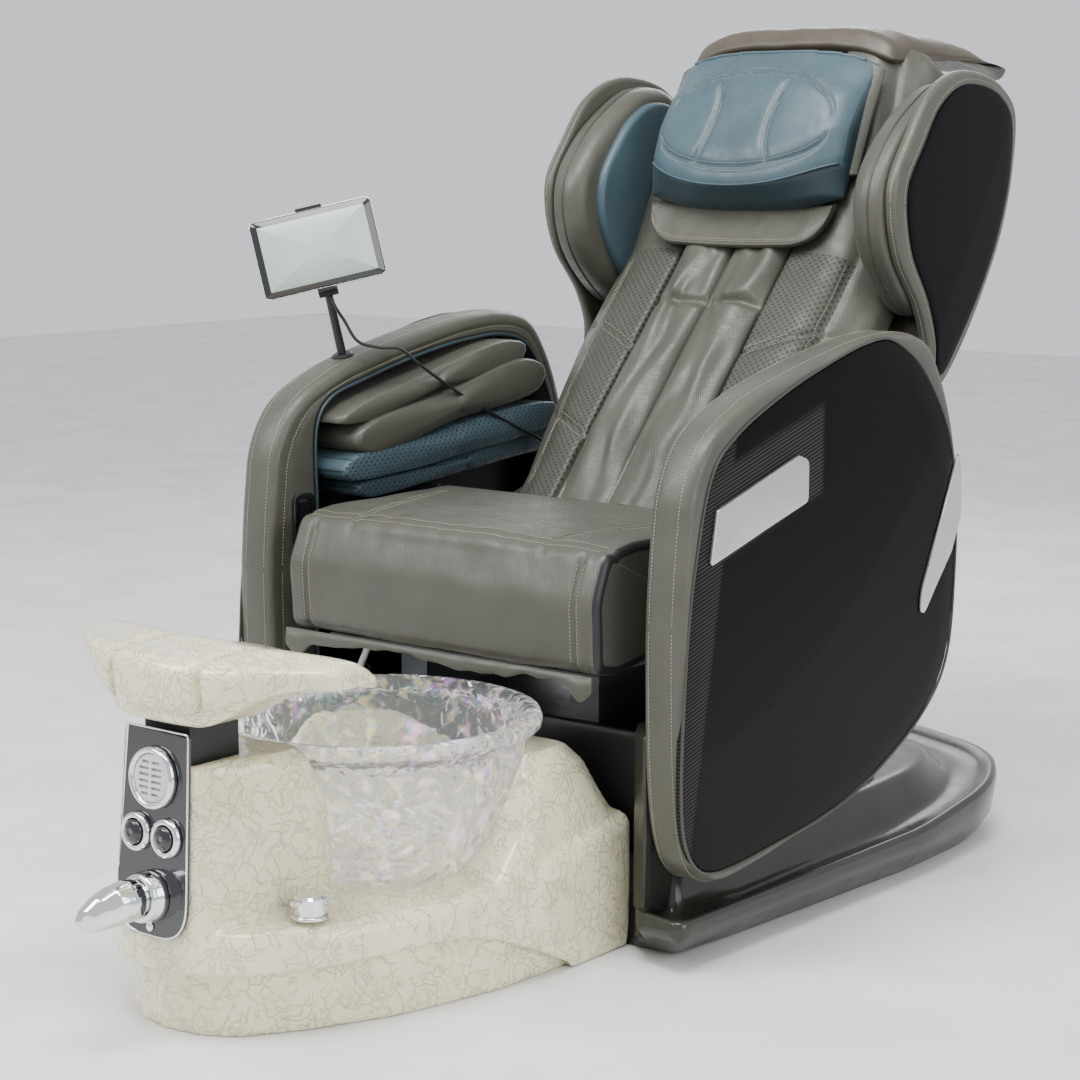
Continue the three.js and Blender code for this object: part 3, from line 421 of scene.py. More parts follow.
def gloss(name, colour, roughness, metallic=0.0, flecks=0.0, coat=0.0):
    """Paint, plastic or metal with uneven polish; flecks make it metallic paint."""
    look = Look(name, Roughness=roughness, Metallic=metallic, Specular_IOR_Level=0.4, Coat_Weight=coat,
                Coat_Roughness=0.06)
    tone = look.ramp(look.noise(5, 4), (0.3, shade(colour, 0.9)), (0.7, shade(colour, 1.05)))
    if flecks:
        speck = look.span(look.noise(900, 1), 0.56, 0.72)
        tone = look.mix(look.times(speck, flecks), tone, shade(colour, 3.2))
    look.paint(tone)
    look.rough(look.noise(34, 4), max(0.02, roughness - 0.03), roughness + 0.05)
    look.bump(look.noise(24, 3), 0.0002, 0.4)
    return look


GREY = (0.066, 0.067, 0.052)
DARK = (0.038, 0.034, 0.027)
TAUPE = (0.070, 0.058, 0.042)
TEAL = (0.044, 0.080, 0.098)
IVORY = (0.84, 0.78, 0.54)
BACK_AXIS = (0, 0.683, 0.731)

grey_leather = leather("grey_leather", GREY).material
dark_leather = leather("dark_leather", DARK, 0.2, 0.36).material
taupe_leather = leather("taupe_leather", TAUPE, 0.35, 0.40).material
teal_leather = leather("teal_leather", TEAL, 0.2, 0.42).material
deep_teal = leather("deep_teal", shade(TEAL, 0.5), 0.15, 0.42).material
back_perforated = perforated("back_perforated", shade(GREY, 0.72), (1, 0, 0), BACK_AXIS).material
side_perforated = perforated("side_perforated", TEAL, (0, 1, 0), (0, 0, 1)).material
graphite = gloss("graphite", (0.026, 0.028, 0.022), 0.20, 0.0, 0.3).material
black_gloss = gloss("black_gloss", (0.011, 0.011, 0.013), 0.12, 0, 0, 0.7).material
black_satin = gloss("black_satin", (0.014, 0.014, 0.015), 0.38).material
grey_plastic = gloss("grey_plastic", (0.62, 0.63, 0.64), 0.32).material
silver = gloss("silver", (0.60, 0.61, 0.60), 0.27, 0.85, 0.2).material
chrome = gloss("chrome", (0.80, 0.81, 0.82), 0.07, 1.0).material
steel = gloss("steel", (0.07, 0.075, 0.08), 0.4, 0.7).material
rubber = gloss("rubber", (0.018, 0.018, 0.02), 0.5).material
thread = gloss("thread", (0.42, 0.37, 0.27), 0.6).material
screen = gloss("screen", (0.40, 0.49, 0.43), 0.2).material


def gelcoat_material():
    """Glossy ivory gelcoat with faint crumpled-paper lines pressed into it, and painted shade darkening the
    ivory along the lines.
    """
    look = Look("gelcoat", Roughness=0.16, Coat_Weight=0.8, Coat_Roughness=0.04, Subsurface_Weight=0.05)
    look.surface.inputs["Subsurface Scale"].default_value = 0.01
    warped = look.add("ShaderNodeVectorMath", operation="MULTIPLY_ADD")
    colour_noise = look.add("ShaderNodeTexNoise", Scale=17.0, Detail=3.0)
    look.link(look.position, colour_noise.inputs["Vector"])
    look.link(colour_noise.outputs["Color"], warped.inputs[0])
    warped.inputs[1].default_value = (0.11, 0.11, 0.11)
    look.link(look.position, warped.inputs[2])
    lines = 1.0
    for scale, width, bare in ((30.0, 0.060, 0.52), (52.0, 0.075, 0.55)):
        cells = look.add("ShaderNodeTexVoronoi", feature="DISTANCE_TO_EDGE", Scale=scale)
        look.link(warped.outputs[0], cells.inputs["Vector"])
        line = look.span(cells.outputs["Distance"], 0.0, width)
        smooth_patch = look.span(look.noise(scale * 0.6), bare - 0.06, bare)
        lines = look.times(look.maths("MAXIMUM", line, smooth_patch), lines)
    cloudy = look.ramp(look.noise(7, 4), (0.3, shade(IVORY, 0.90)), (0.7, IVORY))
    # painted shade: the ivory is darkened along the pressed lines
    groove_shade = look.times(look.maths("SUBTRACT", 1.0, lines), 0.16)
    look.paint(look.mix(groove_shade, cloudy, shade(IVORY, 0.60)))
    look.rough(look.noise(30), 0.12, 0.21)
    look.bump(lines, 0.0016, 0.9)
    look.bump(look.noise(70, 4, 1.5), 0.0012, 0.5)
    return look.material


def panel_material():
    """Black, with fine ridges in a patch that climbs to the rear and a carbon strip along the front edge."""
    look = Look("black_panel", Roughness=0.20, Specular_IOR_Level=0.06)
    climb = look.dot((0, -0.26, 0.966))
    ridges = look.wave(climb, 0.0052)
    patch = look.times(look.span(climb, 0.565, 0.580), look.span(climb, 0.700, 0.680))
    patch = look.times(patch, look.span(look.dot((0, 1, 0)), 0.125, 0.110))
    front = look.span(look.dot((0, 1, -0.18)), -0.222, -0.232)
    ridged = look.maths("MAXIMUM", patch, look.times(front, 0.8))
    bow = look.maths("POWER", look.maths("ADD", look.dot((0, 1, 0)), 0.22), 2)
    bow = look.times(bow, 0.85)
    low = look.span(look.maths("SUBTRACT", look.dot((0, 0, 1)), bow), 0.302, 0.298)
    tone = look.mix(low, (0.002, 0.002, 0.0022), (0.004, 0.004, 0.004))
    light = look.times(ridged, look.maths("MULTIPLY_ADD", ridges, 0.5, 0.5))
    look.paint(look.mix(light, tone, (0.036, 0.036, 0.034)))
    look.link(look.maths("MULTIPLY_ADD", ridged, 0.16, look.span(look.noise(20), 0.3, 0.7, 0.20, 0.27)),
              look.surface.inputs["Roughness"])
    look.bump(look.times(ridges, ridged), 0.0004, 0.6)
    return look.material


def glass_material():
    """Clear hammered glass with a pale rainbow tint and painted glints: patches of the surface glow in
    rainbow colours along the waves.
    """
    look = Look("tub_glass", Roughness=0.01, Transmission_Weight=0.94, IOR=1.45, Thin_Film_Thickness=380.0,
                Thin_Film_IOR=1.33)
    tint_and_glow_hue = look.noise(24, 2, 2.0)
    pale = look.ramp(tint_and_glow_hue, (0.30, (0.84, 0.97, 1.0)), (0.42, (1.0, 0.95, 0.98)), (0.50, (1.0, 1.0, 1.0)),
                     (0.60, (1.0, 1.0, 0.90)), (0.72, (0.88, 0.95, 1.0)))
    glow_colours = look.ramp(tint_and_glow_hue, (0.30, (0.05, 0.55, 1.0)), (0.40, (0.85, 0.15, 0.80)), (0.50, (1.0, 0.95, 0.85)),
                      (0.58, (1.0, 0.70, 0.15)), (0.66, (0.15, 0.80, 0.65)), (0.76, (0.20, 0.25, 1.0)))
    look.paint(pale)
    # painted glints: the emission makes patches of the glass glow in rainbow colours
    painted_glint_glow = look.mix(look.span(look.noise(40, 1, 0.8), 0.54, 0.70), (0.09, 0.10, 0.10), glow_colours)
    look.link(painted_glint_glow, look.surface.inputs["Emission Color"])
    look.surface.inputs["Emission Strength"].default_value = 0.45
    look.bump(look.noise(30, 1, 1.0), 0.010, 1.0)
    return look.material


gelcoat = gelcoat_material()
ridged_panel = panel_material()
tub_glass = glass_material()

# ---- putting pieces in the frame
BODY_OF = {node: body for body, nodes in frame["record"]["behaviour"]["bodies"].items() for node in nodes}


def place(obj, *nodes, body=None, slot=None, fill=None):
    """Rides the first node's body and stands in for the nodes; fill is not used."""
    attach(obj, body or BODY_OF[nodes[0]])
    if nodes:
        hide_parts(*nodes)
    return obj


def paint_node(name, material):
    mesh = frame["nodes"][name].data
    mesh.materials.clear()
    mesh.materials.append(material)


def remade(node, material, voxel=4.0, passes=8):
    """A CAD node's shape, remeshed finely and smoothed so that no facet shows."""
    obj = bpy.data.objects.new(node + "_surface", frame["nodes"][node].data.copy())
    bpy.context.collection.objects.link(obj)
    obj.data.materials.clear()
    obj.data.materials.append(material)
    remesh = obj.modifiers.new("remesh", "REMESH")
    remesh.mode = "VOXEL"
    remesh.voxel_size = voxel * MM
    soften = obj.modifiers.new("soften", "SMOOTH")
    soften.iterations = passes
    soften.factor = 0.5
    bpy.context.view_layer.objects.active = obj
    for modifier in ("remesh", "soften"):
        bpy.ops.object.modifier_apply(modifier=modifier)
    obj.data.polygons.foreach_set("use_smooth", [True] * len(obj.data.polygons))
    obj.data.update()
    return obj


def side_slab(name, outline, x0, x1, bevel, material, dome, count, side, centre):
    """A plate in the Y-Z plane from x0 to x1 with rounded rims; the x1 face rises by dome in the middle."""
    ring = polar(outline, centre, count)
    ahead = 1 if x1 > x0 else -1
    rings = []

    def add(distance, x):
        rings.append([Vector((side * x, p.x, p.y)) for p in inset(ring, centre, distance)])

    for k in range(4):
        a = math.pi / 2 * k / 3
        add(bevel * (1 - math.sin(a)), x0 + ahead * bevel * (1 - math.cos(a)) * 0.5)
    for k in range(6):
        a = math.pi / 2 * k / 5
        add(bevel * (1 - math.cos(a)), x1 - ahead * bevel * (1 - math.sin(a)))
    rim = inset(ring, centre, bevel)
    for k in range(1, 10):
        t = k / 10
        x = x1 + ahead * dome * math.sin(t * math.pi / 2)
        rings.append([Vector((side * x, *p.lerp(centre, t))) for p in rim])
    return loft(name, rings, material)


# ---- small hard parts that stay as they were cut
KEPT_NODES = [
    (steel, ("chassis_plate", "seat_frame", "shower_hose")),
    (black_satin, ("footrest_post", "post_flange", "tablet_post", "tablet_holder")),
    (black_gloss, ("control_panel", "arm_switch", "arm_switch_bezel")),
    (chrome, ("tub_drain", "column_fitting", "drain_knob")),
    (grey_plastic, ("vent_grille", "seat_lever")),
]
for material, names in KEPT_NODES:
    for name in names:
        paint_node(name, material)

# ---- tablet cable
CABLE_ROUTE = [
    (-356, -62, 878), (-352, -58, 862), (-349, -40, 838), (-338, -22, 806), (-318, 6, 796), (-300, 30, 794),
    (-289, 60, 770), (-287.5, 120, 735), (-287.5, 180, 704), (-287.5, 240, 676), (-287.5, 300, 650),
    (-287.5, 352, 628), (-287.5, 392, 606), (-287.5, 424, 580)]
CABLE_RADIUS = 2.5
cable_path = spline(CABLE_ROUTE, 90)
cable = tube("tablet_cable_surface", cable_path, CABLE_RADIUS, rubber, 12)
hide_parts("tablet_cable")
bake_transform(cable)

# ---- base and pedestal
BASE_FRONT = -129.6
FLOOR_HALF = [
    (0, BASE_FRONT), (268, BASE_FRONT), (300, -127, 8), (334, -122, 16), (350, -20, 200), (383, 420, 800),
    (380, 640, 400), (312, 790, 400), (130, 858, 400), (0, 862)]
LIP_HALF = [
    (0, BASE_FRONT), (272, BASE_FRONT), (318, -188, 24), (402, -204, 24), (408, -20, 200), (430, 420, 800),
    (418, 650, 400), (330, 805, 400), (130, 885, 400), (0, 890)]
HUMP_HALF = [
    (0, BASE_FRONT), (272, BASE_FRONT), (306, -129, 6), (338, -127, 10), (339, 0, 200), (339.5, 400, 800),
    (330, 560, 400), (270, 690, 400), (100, 758, 400), (0, 762)]


def whole_outline(half, steps=14):
    left = [(-p[0], *p[1:]) for p in reversed(half[1:-1])]
    return rounded(half + left, steps)


def lip_height(y):
    return 75 + 35 * smoothstep(y, 250, 850)


def level_height(kind, amount, y):
    """A level is flat, keeps a height over the lip, or dips into the channel inside the lip."""
    if kind == "flat":
        return amount
    if kind == "over lip":
        return lip_height(y) + amount
    back_of_step = smoothstep(y, BASE_FRONT + 0.5, BASE_FRONT + 60)
    return lip_height(y) - amount * back_of_step - amount * (y < BASE_FRONT - 1)


def base_ring(outer, inner, t, kind, amount):
    """The plan a share t of the way from one outline to the other, at a level's height."""
    mixed = [(lerp(a[0], b[0], t), lerp(a[1], b[1], t), *(a[2:] or (0,))) for a, b in zip(outer, inner)]
    return [Vector((p.x, p.y, level_height(kind, amount, p.y))) for p in whole_outline(mixed)]


SKIRT_LEVELS = [(0, "flat", 0), (0.3, "flat", 12), (0.8, "flat", 40), (0.97, "over lip", -26)]
DECK_LEVELS = [
    (0, "over lip", -10), (0.02, "over lip", -3), (0.08, "over lip", 0), (0.14, "over lip", -1),
    (0.22, "channel", 8), (0.32, "channel", 13), (0.66, "channel", 13), (0.78, "channel", 6),
    (0.88, "over lip", 10), (0.96, "flat", 118), (1, "flat", 124)]
DECK_TOP, DECK_MIDDLE_Y = 128, 300
UPSTAND_PLAN = [
    (274, -131, 3), (296, -166, 12), (330, -190, 16), (335, -180, 5), (335, -70, 5), (274, -70, 5)]
UPSTAND_LEVELS = ((0, 72), (0, 312), (1.5, 318), (5, 320))


def upstand(side):
    outline = [Vector((side * p.x, p.y)) for p in rounded(UPSTAND_PLAN, 8)]
    middle = centre_of(outline)
    rings = [[Vector((*p, z)) for p in inset(outline, middle, d)] for d, z in UPSTAND_LEVELS]
    return loft("upstand", rings, graphite)


def chair_base():
    """The floor skirt, the lip with the channel inside it, the deck and the two upstands at its front."""
    rings = [base_ring(FLOOR_HALF, LIP_HALF, *level) for level in SKIRT_LEVELS]
    rings += [base_ring(LIP_HALF, HUMP_HALF, *level) for level in DECK_LEVELS]
    top = base_ring(LIP_HALF, HUMP_HALF, 1, "flat", DECK_TOP)
    rings += [[Vector((p.x * k, lerp(DECK_MIDDLE_Y, p.y, k), p.z)) for p in top] for k in (0.985, 0.93)]
    shell = loft("chair_base_shell", rings, graphite)
    return join_objects("chair_base_skin", [shell, upstand(-1), upstand(1)])


place(chair_base(), "chair_base")
# The seat housing is black satin so that the shadowed opening under the seat reads dark: painted shade.
place(remade("seat_housing", black_satin, 4, 12), "seat_housing")
place(remade("pedestal_body", gelcoat, 4, 8), "pedestal_body")
place(remade("pedestal_plinth", gelcoat, 4, 8), "pedestal_plinth")


FOOTREST_HALF, FOOTREST_SLOT = 228, 76


def footrest_section(x):
    """Three padded-looking lobes over a tray whose underside sweeps up to the ends."""
    t = abs(x) / FOOTREST_HALF
    front = -778 + 100 * t ** 2.2
    rear = -572 - 26 * t * t
    top = 484 - 5 * t * t
    bottom = 398 + 52 * smoothstep(t, 0.26, 0.8)
    halfway = (front + rear) / 2
    corners = [(front, top - 4, 24), (halfway, top, 60), (rear, 462 - 4 * t, 16),
               (rear, min(446 - 4 * t, bottom + 30), 10), (halfway, bottom, 20), (front + 12, bottom, 12)]
    outline = [Vector(p) for p in rounded(corners, 10)]
    outline = resample(outline + outline[:1], 181)[:-1]
    middle = centre_of(outline)
    slot = math.exp(-((abs(x) - FOOTREST_SLOT) / 5) ** 4)
    lobe = (abs(x) - 2 * FOOTREST_SLOT) / FOOTREST_SLOT if abs(x) > FOOTREST_SLOT else x / FOOTREST_SLOT
    tray_line = lerp(418, 452, smoothstep(t, 0.26, 0.9))
    ring = []
    for p in outline:
        on_lobe = smoothstep(p.y, tray_line, tray_line + 4) * (1 - smoothstep(p.x, rear - 22, rear - 6))
        swell = 5 * (1 - lobe ** 4) + 2 - 15 * slot
        if p.x < middle.x - 40:
            swell -= 5 * math.exp(-((p.y - tray_line) / 3) ** 2)
        ring.append(p + (p - middle).normalized() * swell * on_lobe)
    return ring


def footrest():
    rings = []
    for i, crowded_x in enumerate(crowded(FOOTREST_HALF, 228)):
        x = lerp(crowded_x, lerp(-FOOTREST_HALF, FOOTREST_HALF, i / 228), 0.65)
        outline = footrest_section(x)
        middle = centre_of(outline)
        squeeze = math.sqrt(max(0.02, 1 - max(0.0, (abs(x) - 212) / 16) ** 2 * 0.98))
        rings.append([Vector((x, *(middle + (p - middle) * (0.55 + 0.45 * squeeze)))) for p in outline])
    return loft("footrest_skin", rings, gelcoat)


place(footrest(), "footrest")
place(remade("shower_head", chrome, 1.3, 8), "shower_head")

BOWL_Y = -365
BOWL_PROFILE = [
    (0, 110), (118, 110), (152, 120), (174, 142), (183, 170), (200, 240), (212, 316), (228, 321), (231, 331),
    (227, 341), (208, 341), (203, 334), (192, 240), (174, 174), (165, 150), (145, 130), (114, 119), (0, 119)]


def tub_bowl():
    profile = spline(BOWL_PROFILE, 90)
    rings = []
    for k in range(160):
        a = 2 * math.pi * k / 160
        ring = []
        for r, z in profile:
            wall = smoothstep(r, 120, 170) * (1 - smoothstep(z, 300, 320))
            wave = noise.noise(Vector((math.cos(a) * 5, math.sin(a) * 5, z / 45))) * 4 * wall
            ring.append(Vector(((r + wave) * math.cos(a), BOWL_Y + (r + wave) * math.sin(a), z)))
        rings.append(ring)
    return loft("tub_bowl_surface", rings, tub_glass, closed_loop=True)


place(tub_bowl(), "tub_bowl")

# ---- control panel trim
PANEL = Matrix.Translation((0, -782, 129)) @ Matrix.Rotation(-math.atan2(20, 261), 4, "X")
OUTWARD = Matrix.Rotation(math.pi / 2, 4, "X")


def on_panel(x, z, stand_off=0.4):
    return PANEL @ Matrix.Translation((x, -stand_off, z)) @ OUTWARD


GRILLE_Z, KNOB_Z, DOCK_Z, SCREW_Z = 200, 128, 50, 11
GRILLE_RING = [(31, 0), (39, 0), (40, 1), (40, 5), (38.5, 9), (36, 11), (33, 10.4), (31, 8)]
BEZEL = [(17, 0), (24.4, 0), (25, 1), (25, 4), (24, 7.4), (22, 9), (18, 9), (17, 8)]
KNOB_DOME = [(0.1, 0.2), (15.2, 0.2), (15.8, 1.2), (15.8, 8), (15, 11), (12.6, 13), (7, 14.8), (0.1, 15.5)]
DOCK = [(18, 0), (32.4, 0), (33, 1), (33, 9), (31, 12), (31, 20), (29.6, 23.2), (28, 24), (19, 24), (18, 23)]
SCREW_HEAD = spline([(0.1, 0), (6, 0), (6, 1.5), (3.5, 3.5), (0.1, 4)], 16)
PANEL_TRIM = [  # node, (radius, height) profile, material, segments, x and z on the panel
    ("grille_ring", GRILLE_RING, chrome, 96, 0, GRILLE_Z),
    ("hot_knob_bezel", BEZEL, chrome, 72, -27, KNOB_Z), ("hot_knob", KNOB_DOME, black_gloss, 72, -27, KNOB_Z),
    ("cold_knob_bezel", BEZEL, chrome, 72, 27, KNOB_Z), ("cold_knob", KNOB_DOME, black_gloss, 72, 27, KNOB_Z),
    ("shower_dock", DOCK, chrome, 96, 0, DOCK_Z), ("panel_screw", SCREW_HEAD, chrome, 40, 0, SCREW_Z)]
for node, profile, material, segments, x, z in PANEL_TRIM:
    place(lathe(node + "_surface", profile, material, segments, on_panel(x, z)), node)
low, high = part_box("drain_knob_base")
drain_foot = Matrix.Translation(Vector(((low.x + high.x) / 2, (low.y + high.y) / 2, low.z)) / MM)
drain_flange = [(0.1, 0), (25, 0), (25, 3), (22, 4.5), (0.1, 4.5)]
place(lathe("drain_knob_base_surface", drain_flange, chrome, 72, drain_foot), "drain_knob_base")
panel_edge = [Vector(p) for p in rounded([(-64, 0, 48), (64, 0, 48), (56, 261, 4), (-56, 261, 4)], 12)]
edge_path = [PANEL @ Vector((p.x, -0.2, p.y)) for p in resample(panel_edge + panel_edge[:1], 120)[:-1]]
place(tube("panel_chrome_edge", edge_path, 1.3, chrome, 8, closed=True), body="base", slot="chrome")

# ---- armrests
ARM_OUTLINE = spline([
    (-216, 400), (-215, 500), (-206, 598), (-195, 658), (-156, 719), (-73, 763), (45, 795), (144, 815),
    (250, 831), (350, 832), (410, 815), (455, 760), (490, 680), (507, 580), (508, 440), (480, 325),
    (430, 260), (330, 203), (200, 160), (60, 134), (-60, 118), (-135, 118), (-180, 148),
    (-205, 225)], 400, True)
ARM_PANEL_OUTLINE = spline([
    (-208, 402), (-186, 562), (-146, 681), (-96, 720), (12, 765), (115, 796), (223, 821), (290, 825),
    (339, 807), (387, 777), (464, 686), (494, 600), (499, 469), (478, 326), (418, 260), (249, 181),
    (138, 156), (30, 144), (-140, 136), (-179, 152), (-208, 200)], 400, True)
ARM_OPENING = spline([
    (-112, 560), (-108, 690), (-80, 722), (0, 746), (140, 777), (240, 791), (330, 794), (390, 776),
    (450, 690), (468, 600), (462, 440), (400, 300), (250, 240), (60, 215), (-60, 215),
    (-106, 280)], 400, True)
UPPER_PADS = [  # x of the pad's face and its outline
    (302, [(-105, 690), (-62, 712), (100, 750), (300, 790), (352, 778), (330, 750), (120, 720), (-40, 686)]),
    (290, [(-78, 664), (-50, 684), (120, 718), (340, 758), (386, 738), (374, 710), (160, 672), (-20, 640),
           (-62, 642)])]
LOWER_PADS = [
    (292, [(-104, 622), (-70, 640), (60, 652), (300, 682), (418, 676), (410, 652), (200, 618), (0, 602),
           (-96, 604)]),
    (304, [(-66, 590), (100, 604), (300, 636), (440, 640), (430, 614), (300, 596), (88, 578), (-50, 572)])]
PLATE = rounded([(-162, 556, 3), (75, 616, 10), (75, 674, 12), (50, 683, 10), (-147, 629, 3)], 5)
BLADE = [(394, 412, 8), (406, 408, 8), (436, 442, 30), (484, 492, 40), (511, 545, 30), (508, 610, 30),
         (499, 644, 3), (396, 442, 10)]
BLADE_CENTRE = Vector((470, 560))
PAD_ROOT_X = 396
ARM_STITCHES = ((-26, 341.6), (0.6, 392), (0.4, 355))  # out from the outline, and x
ARM_CENTRE = Vector((165, 470))
ARM_STEPS = 260


def arm_section(outer, hole, panel, k):
    """(distance from the arm's centre, x) round the leather band at one direction."""
    ro, rh = (outer - ARM_CENTRE).length, (hole - ARM_CENTRE).length
    rp = min((panel - ARM_CENTRE).length, ro - 8)
    pucker = 1.3 * math.sin(k * 0.9) * noise.noise(Vector((k / 14, 2, 5)))
    section = [(rh, 396), (rh - 1, 372), (rh, 352), (rh + 4, 344), (rh + 10, 341)]
    for step in range(1, 7):
        t = step / 7
        crease = 3 * math.exp(-((ro - 26 - lerp(rh + 10, ro - 14, t)) / 5) ** 2)
        section.append((lerp(rh + 10, ro - 14, t), 341 - 0.8 * math.sin(math.pi * t) + crease))
    proud = ro + 1.5 + pucker
    section += [(ro - 10, 342.5), (ro - 4, 347), (ro - 1, 353), (proud, 366), (proud, 384)]
    section += [(ro - 0.5, 397), (ro - 3, 404), (ro - 7, 409), ((ro + rp) / 2, 411)]
    return section + [(rp + 2.5, 410), (rp + 1, 407), (rp + 1, 396)]


def arm_frame(side, word):
    outlines = (ARM_OUTLINE, ARM_OPENING, ARM_PANEL_OUTLINE)
    rays = zip(*(polar(outline, ARM_CENTRE, ARM_STEPS) for outline in outlines))
    rings = []
    for k, (outer, hole, panel) in enumerate(rays):
        ray = (outer - ARM_CENTRE).normalized()
        section = arm_section(outer, hole, panel, k)
        rings.append([Vector((side * x, *(ARM_CENTRE + ray * r))) for r, x in section])
    return loft("arm_frame_band_" + word, rings, grey_leather, closed_loop=True, subdivide=1)


def side_line(outline, centre, count, outwards, x, side):
    """A line round an outline in the Y-Z plane, outwards of it by a distance."""
    return [Vector((side * x, p.x, p.y)) for p in inset(polar(outline, centre, count), centre, -outwards)]


def arm_line(outline, outwards, x, side):
    return side_line(outline, ARM_CENTRE, ARM_STEPS, outwards, x, side)


def arm_pads(name, pads, bevel, material, dome, side):
    slabs = []
    for face, outline in pads:
        smooth = spline(outline, 140, True)
        middle = centre_of(smooth)
        slabs.append(side_slab("arm_pad", smooth, PAD_ROOT_X, face, bevel, material, dome, 160, side, middle))
    return join_objects(name, slabs)


ARM_SLABS = [  # piece, outline, x from and to, bevel, material, dome, points, centre
    ("panel", ARM_PANEL_OUTLINE, 398, 410.7, 3, ridged_panel, 0, 300, ARM_CENTRE),
    ("plate", PLATE, 411, 416, 2, silver, 0.8, 200, centre_of(PLATE)),
    ("strip", rounded(BLADE, 6), 411.4, 415, 1.4, silver, 0, 200, BLADE_CENTRE)]
for side, word in SIDES:
    place(arm_frame(side, word), "arm_frame_" + word, fill=0.8)
    for piece, outline, x0, x1, bevel, material, dome, count, centre in ARM_SLABS:
        name = f"arm_{piece}_surface_{word}"
        slab = side_slab(name, outline, x0, x1, bevel, material, dome, count, side, centre)
        place(slab, f"arm_{piece}_{word}")
    upper = arm_pads("arm_upper_pads_" + word, UPPER_PADS, 12, grey_leather, 10, side)
    place(upper, "arm_upper_pad_" + word, fill=0.8)
    lower = arm_pads("arm_lower_pads_" + word, LOWER_PADS, 9, side_perforated, 7, side)
    place(lower, "arm_lower_pad_" + word, fill=0.8)
    inner = arm_line(ARM_OPENING, 2, 341.5, side)
    inner_piping = tube("arm_opening_piping_" + word, inner, 2.8, deep_teal, 10, True)
    place(inner_piping, body="base", slot="blue_leather")
    outer = arm_line(ARM_PANEL_OUTLINE, 3.5, 410.4, side)
    outer_piping = tube("arm_edge_piping_" + word, outer, 2.2, dark_leather, 8, True)
    place(outer_piping, body="base", slot="dark_leather")
    rows = [arm_line(ARM_OUTLINE, outwards, x, side) for outwards, x in ARM_STITCHES]
    place(stitches("arm_stitching_" + word, rows, thread), body="base")

# ---- seat cushion
SEAT_HALF = 285
HINGE = Vector((150, 500))
SEAT_REAR_RADIUS = 77
SEAT_PROFILE = [
    (117, 572, 0), (113, 575, 2), (-150, 574, 40), (-214, 566, 34), (-241, 500, 70), (-236, 404, 24),
    (-190, 396, 20), (60, 424, 10), (140, 430, 0)]
FRONT_SEAM = Vector((-196, 568))
FRONT_SEAM_X = 246
SEAM_STITCH_GAP = 6


def seat_profile():
    """The cushion's outline from the side, with a round hollow for the foot of the back."""
    top = rounded(SEAT_PROFILE, 8)
    angles = [math.radians(d) for d in range(265, 115, -10)]
    rear = [HINGE + Vector((math.cos(a), math.sin(a))) * SEAT_REAR_RADIUS for a in angles]
    return resample(top + rear + top[:1], 181)[:-1]


SEAT_OUTLINE = seat_profile()


def seat_side_seam(y):
    return 176 + 58 * smoothstep(y, -190, 60)


def seat_point(x, k):
    """A point of the cushion's skin, x across and the k-th point of the profile."""
    p = SEAT_OUTLINE[k]
    ahead = (SEAT_OUTLINE[(k + 1) % len(SEAT_OUTLINE)] - SEAT_OUTLINE[k - 1]).normalized()
    out = Vector((-ahead.y, ahead.x))
    if out.dot(p - Vector((0, 490))) < 0:
        out = -out
    t = abs(x) / SEAT_HALF
    on_top = smoothstep(p.y, 548, 566) * (1 - smoothstep(p.x, 60, 120))
    in_front = (1 - smoothstep(p.x, -222, -205))
    rise = 6 * (1 - t * t) * on_top
    seam = (p - FRONT_SEAM).length
    rise -= 5 * math.exp(-(seam / 6) ** 2)
    pucker = 1.6 * math.sin(x / 8.5 + 2 * noise.noise(Vector((x / 60, 0, 0))))
    rise += pucker * math.exp(-seam / 26) * (1 - on_top * 0.4)
    side_seam = abs(abs(x) - seat_side_seam(p.x))
    rise -= 4.5 * math.exp(-(side_seam / 6) ** 2) * on_top
    rise -= 4.5 * math.exp(-((abs(x) - FRONT_SEAM_X) / 5) ** 2) * in_front
    rise += 2.2 * noise.noise(Vector((x / 70, p.x / 55, p.y / 55))) * (on_top + in_front)
    shrink = 14 * (1 - math.sqrt(max(0.0, 1 - max(0.0, (t - 0.95) / 0.05) ** 2)))
    q = p + out * (rise - shrink)
    if (q - HINGE).length < SEAT_REAR_RADIUS - 0.5 and p.x > 60:
        q = HINGE + (q - HINGE).normalized() * (SEAT_REAR_RADIUS - 0.5)
    return Vector((x, q.x, q.y))


def seat_cushion():
    half = [SEAT_HALF * math.sin(math.pi / 2 * (i / 70) ** 0.93) for i in range(71)]
    stations = sorted({side * x for side in (-1, 1) for x in half})
    rings = [[seat_point(x, k) for k in range(len(SEAT_OUTLINE))] for x in stations]
    return loft("seat_cushion_skin", rings, [grey_leather, black_satin],
                pick=lambda r, i: 1 if r < len(rings) - 1 and abs(stations[r]) > 277 else 0)


place(seat_cushion(), "seat_cushion", fill=0.8)


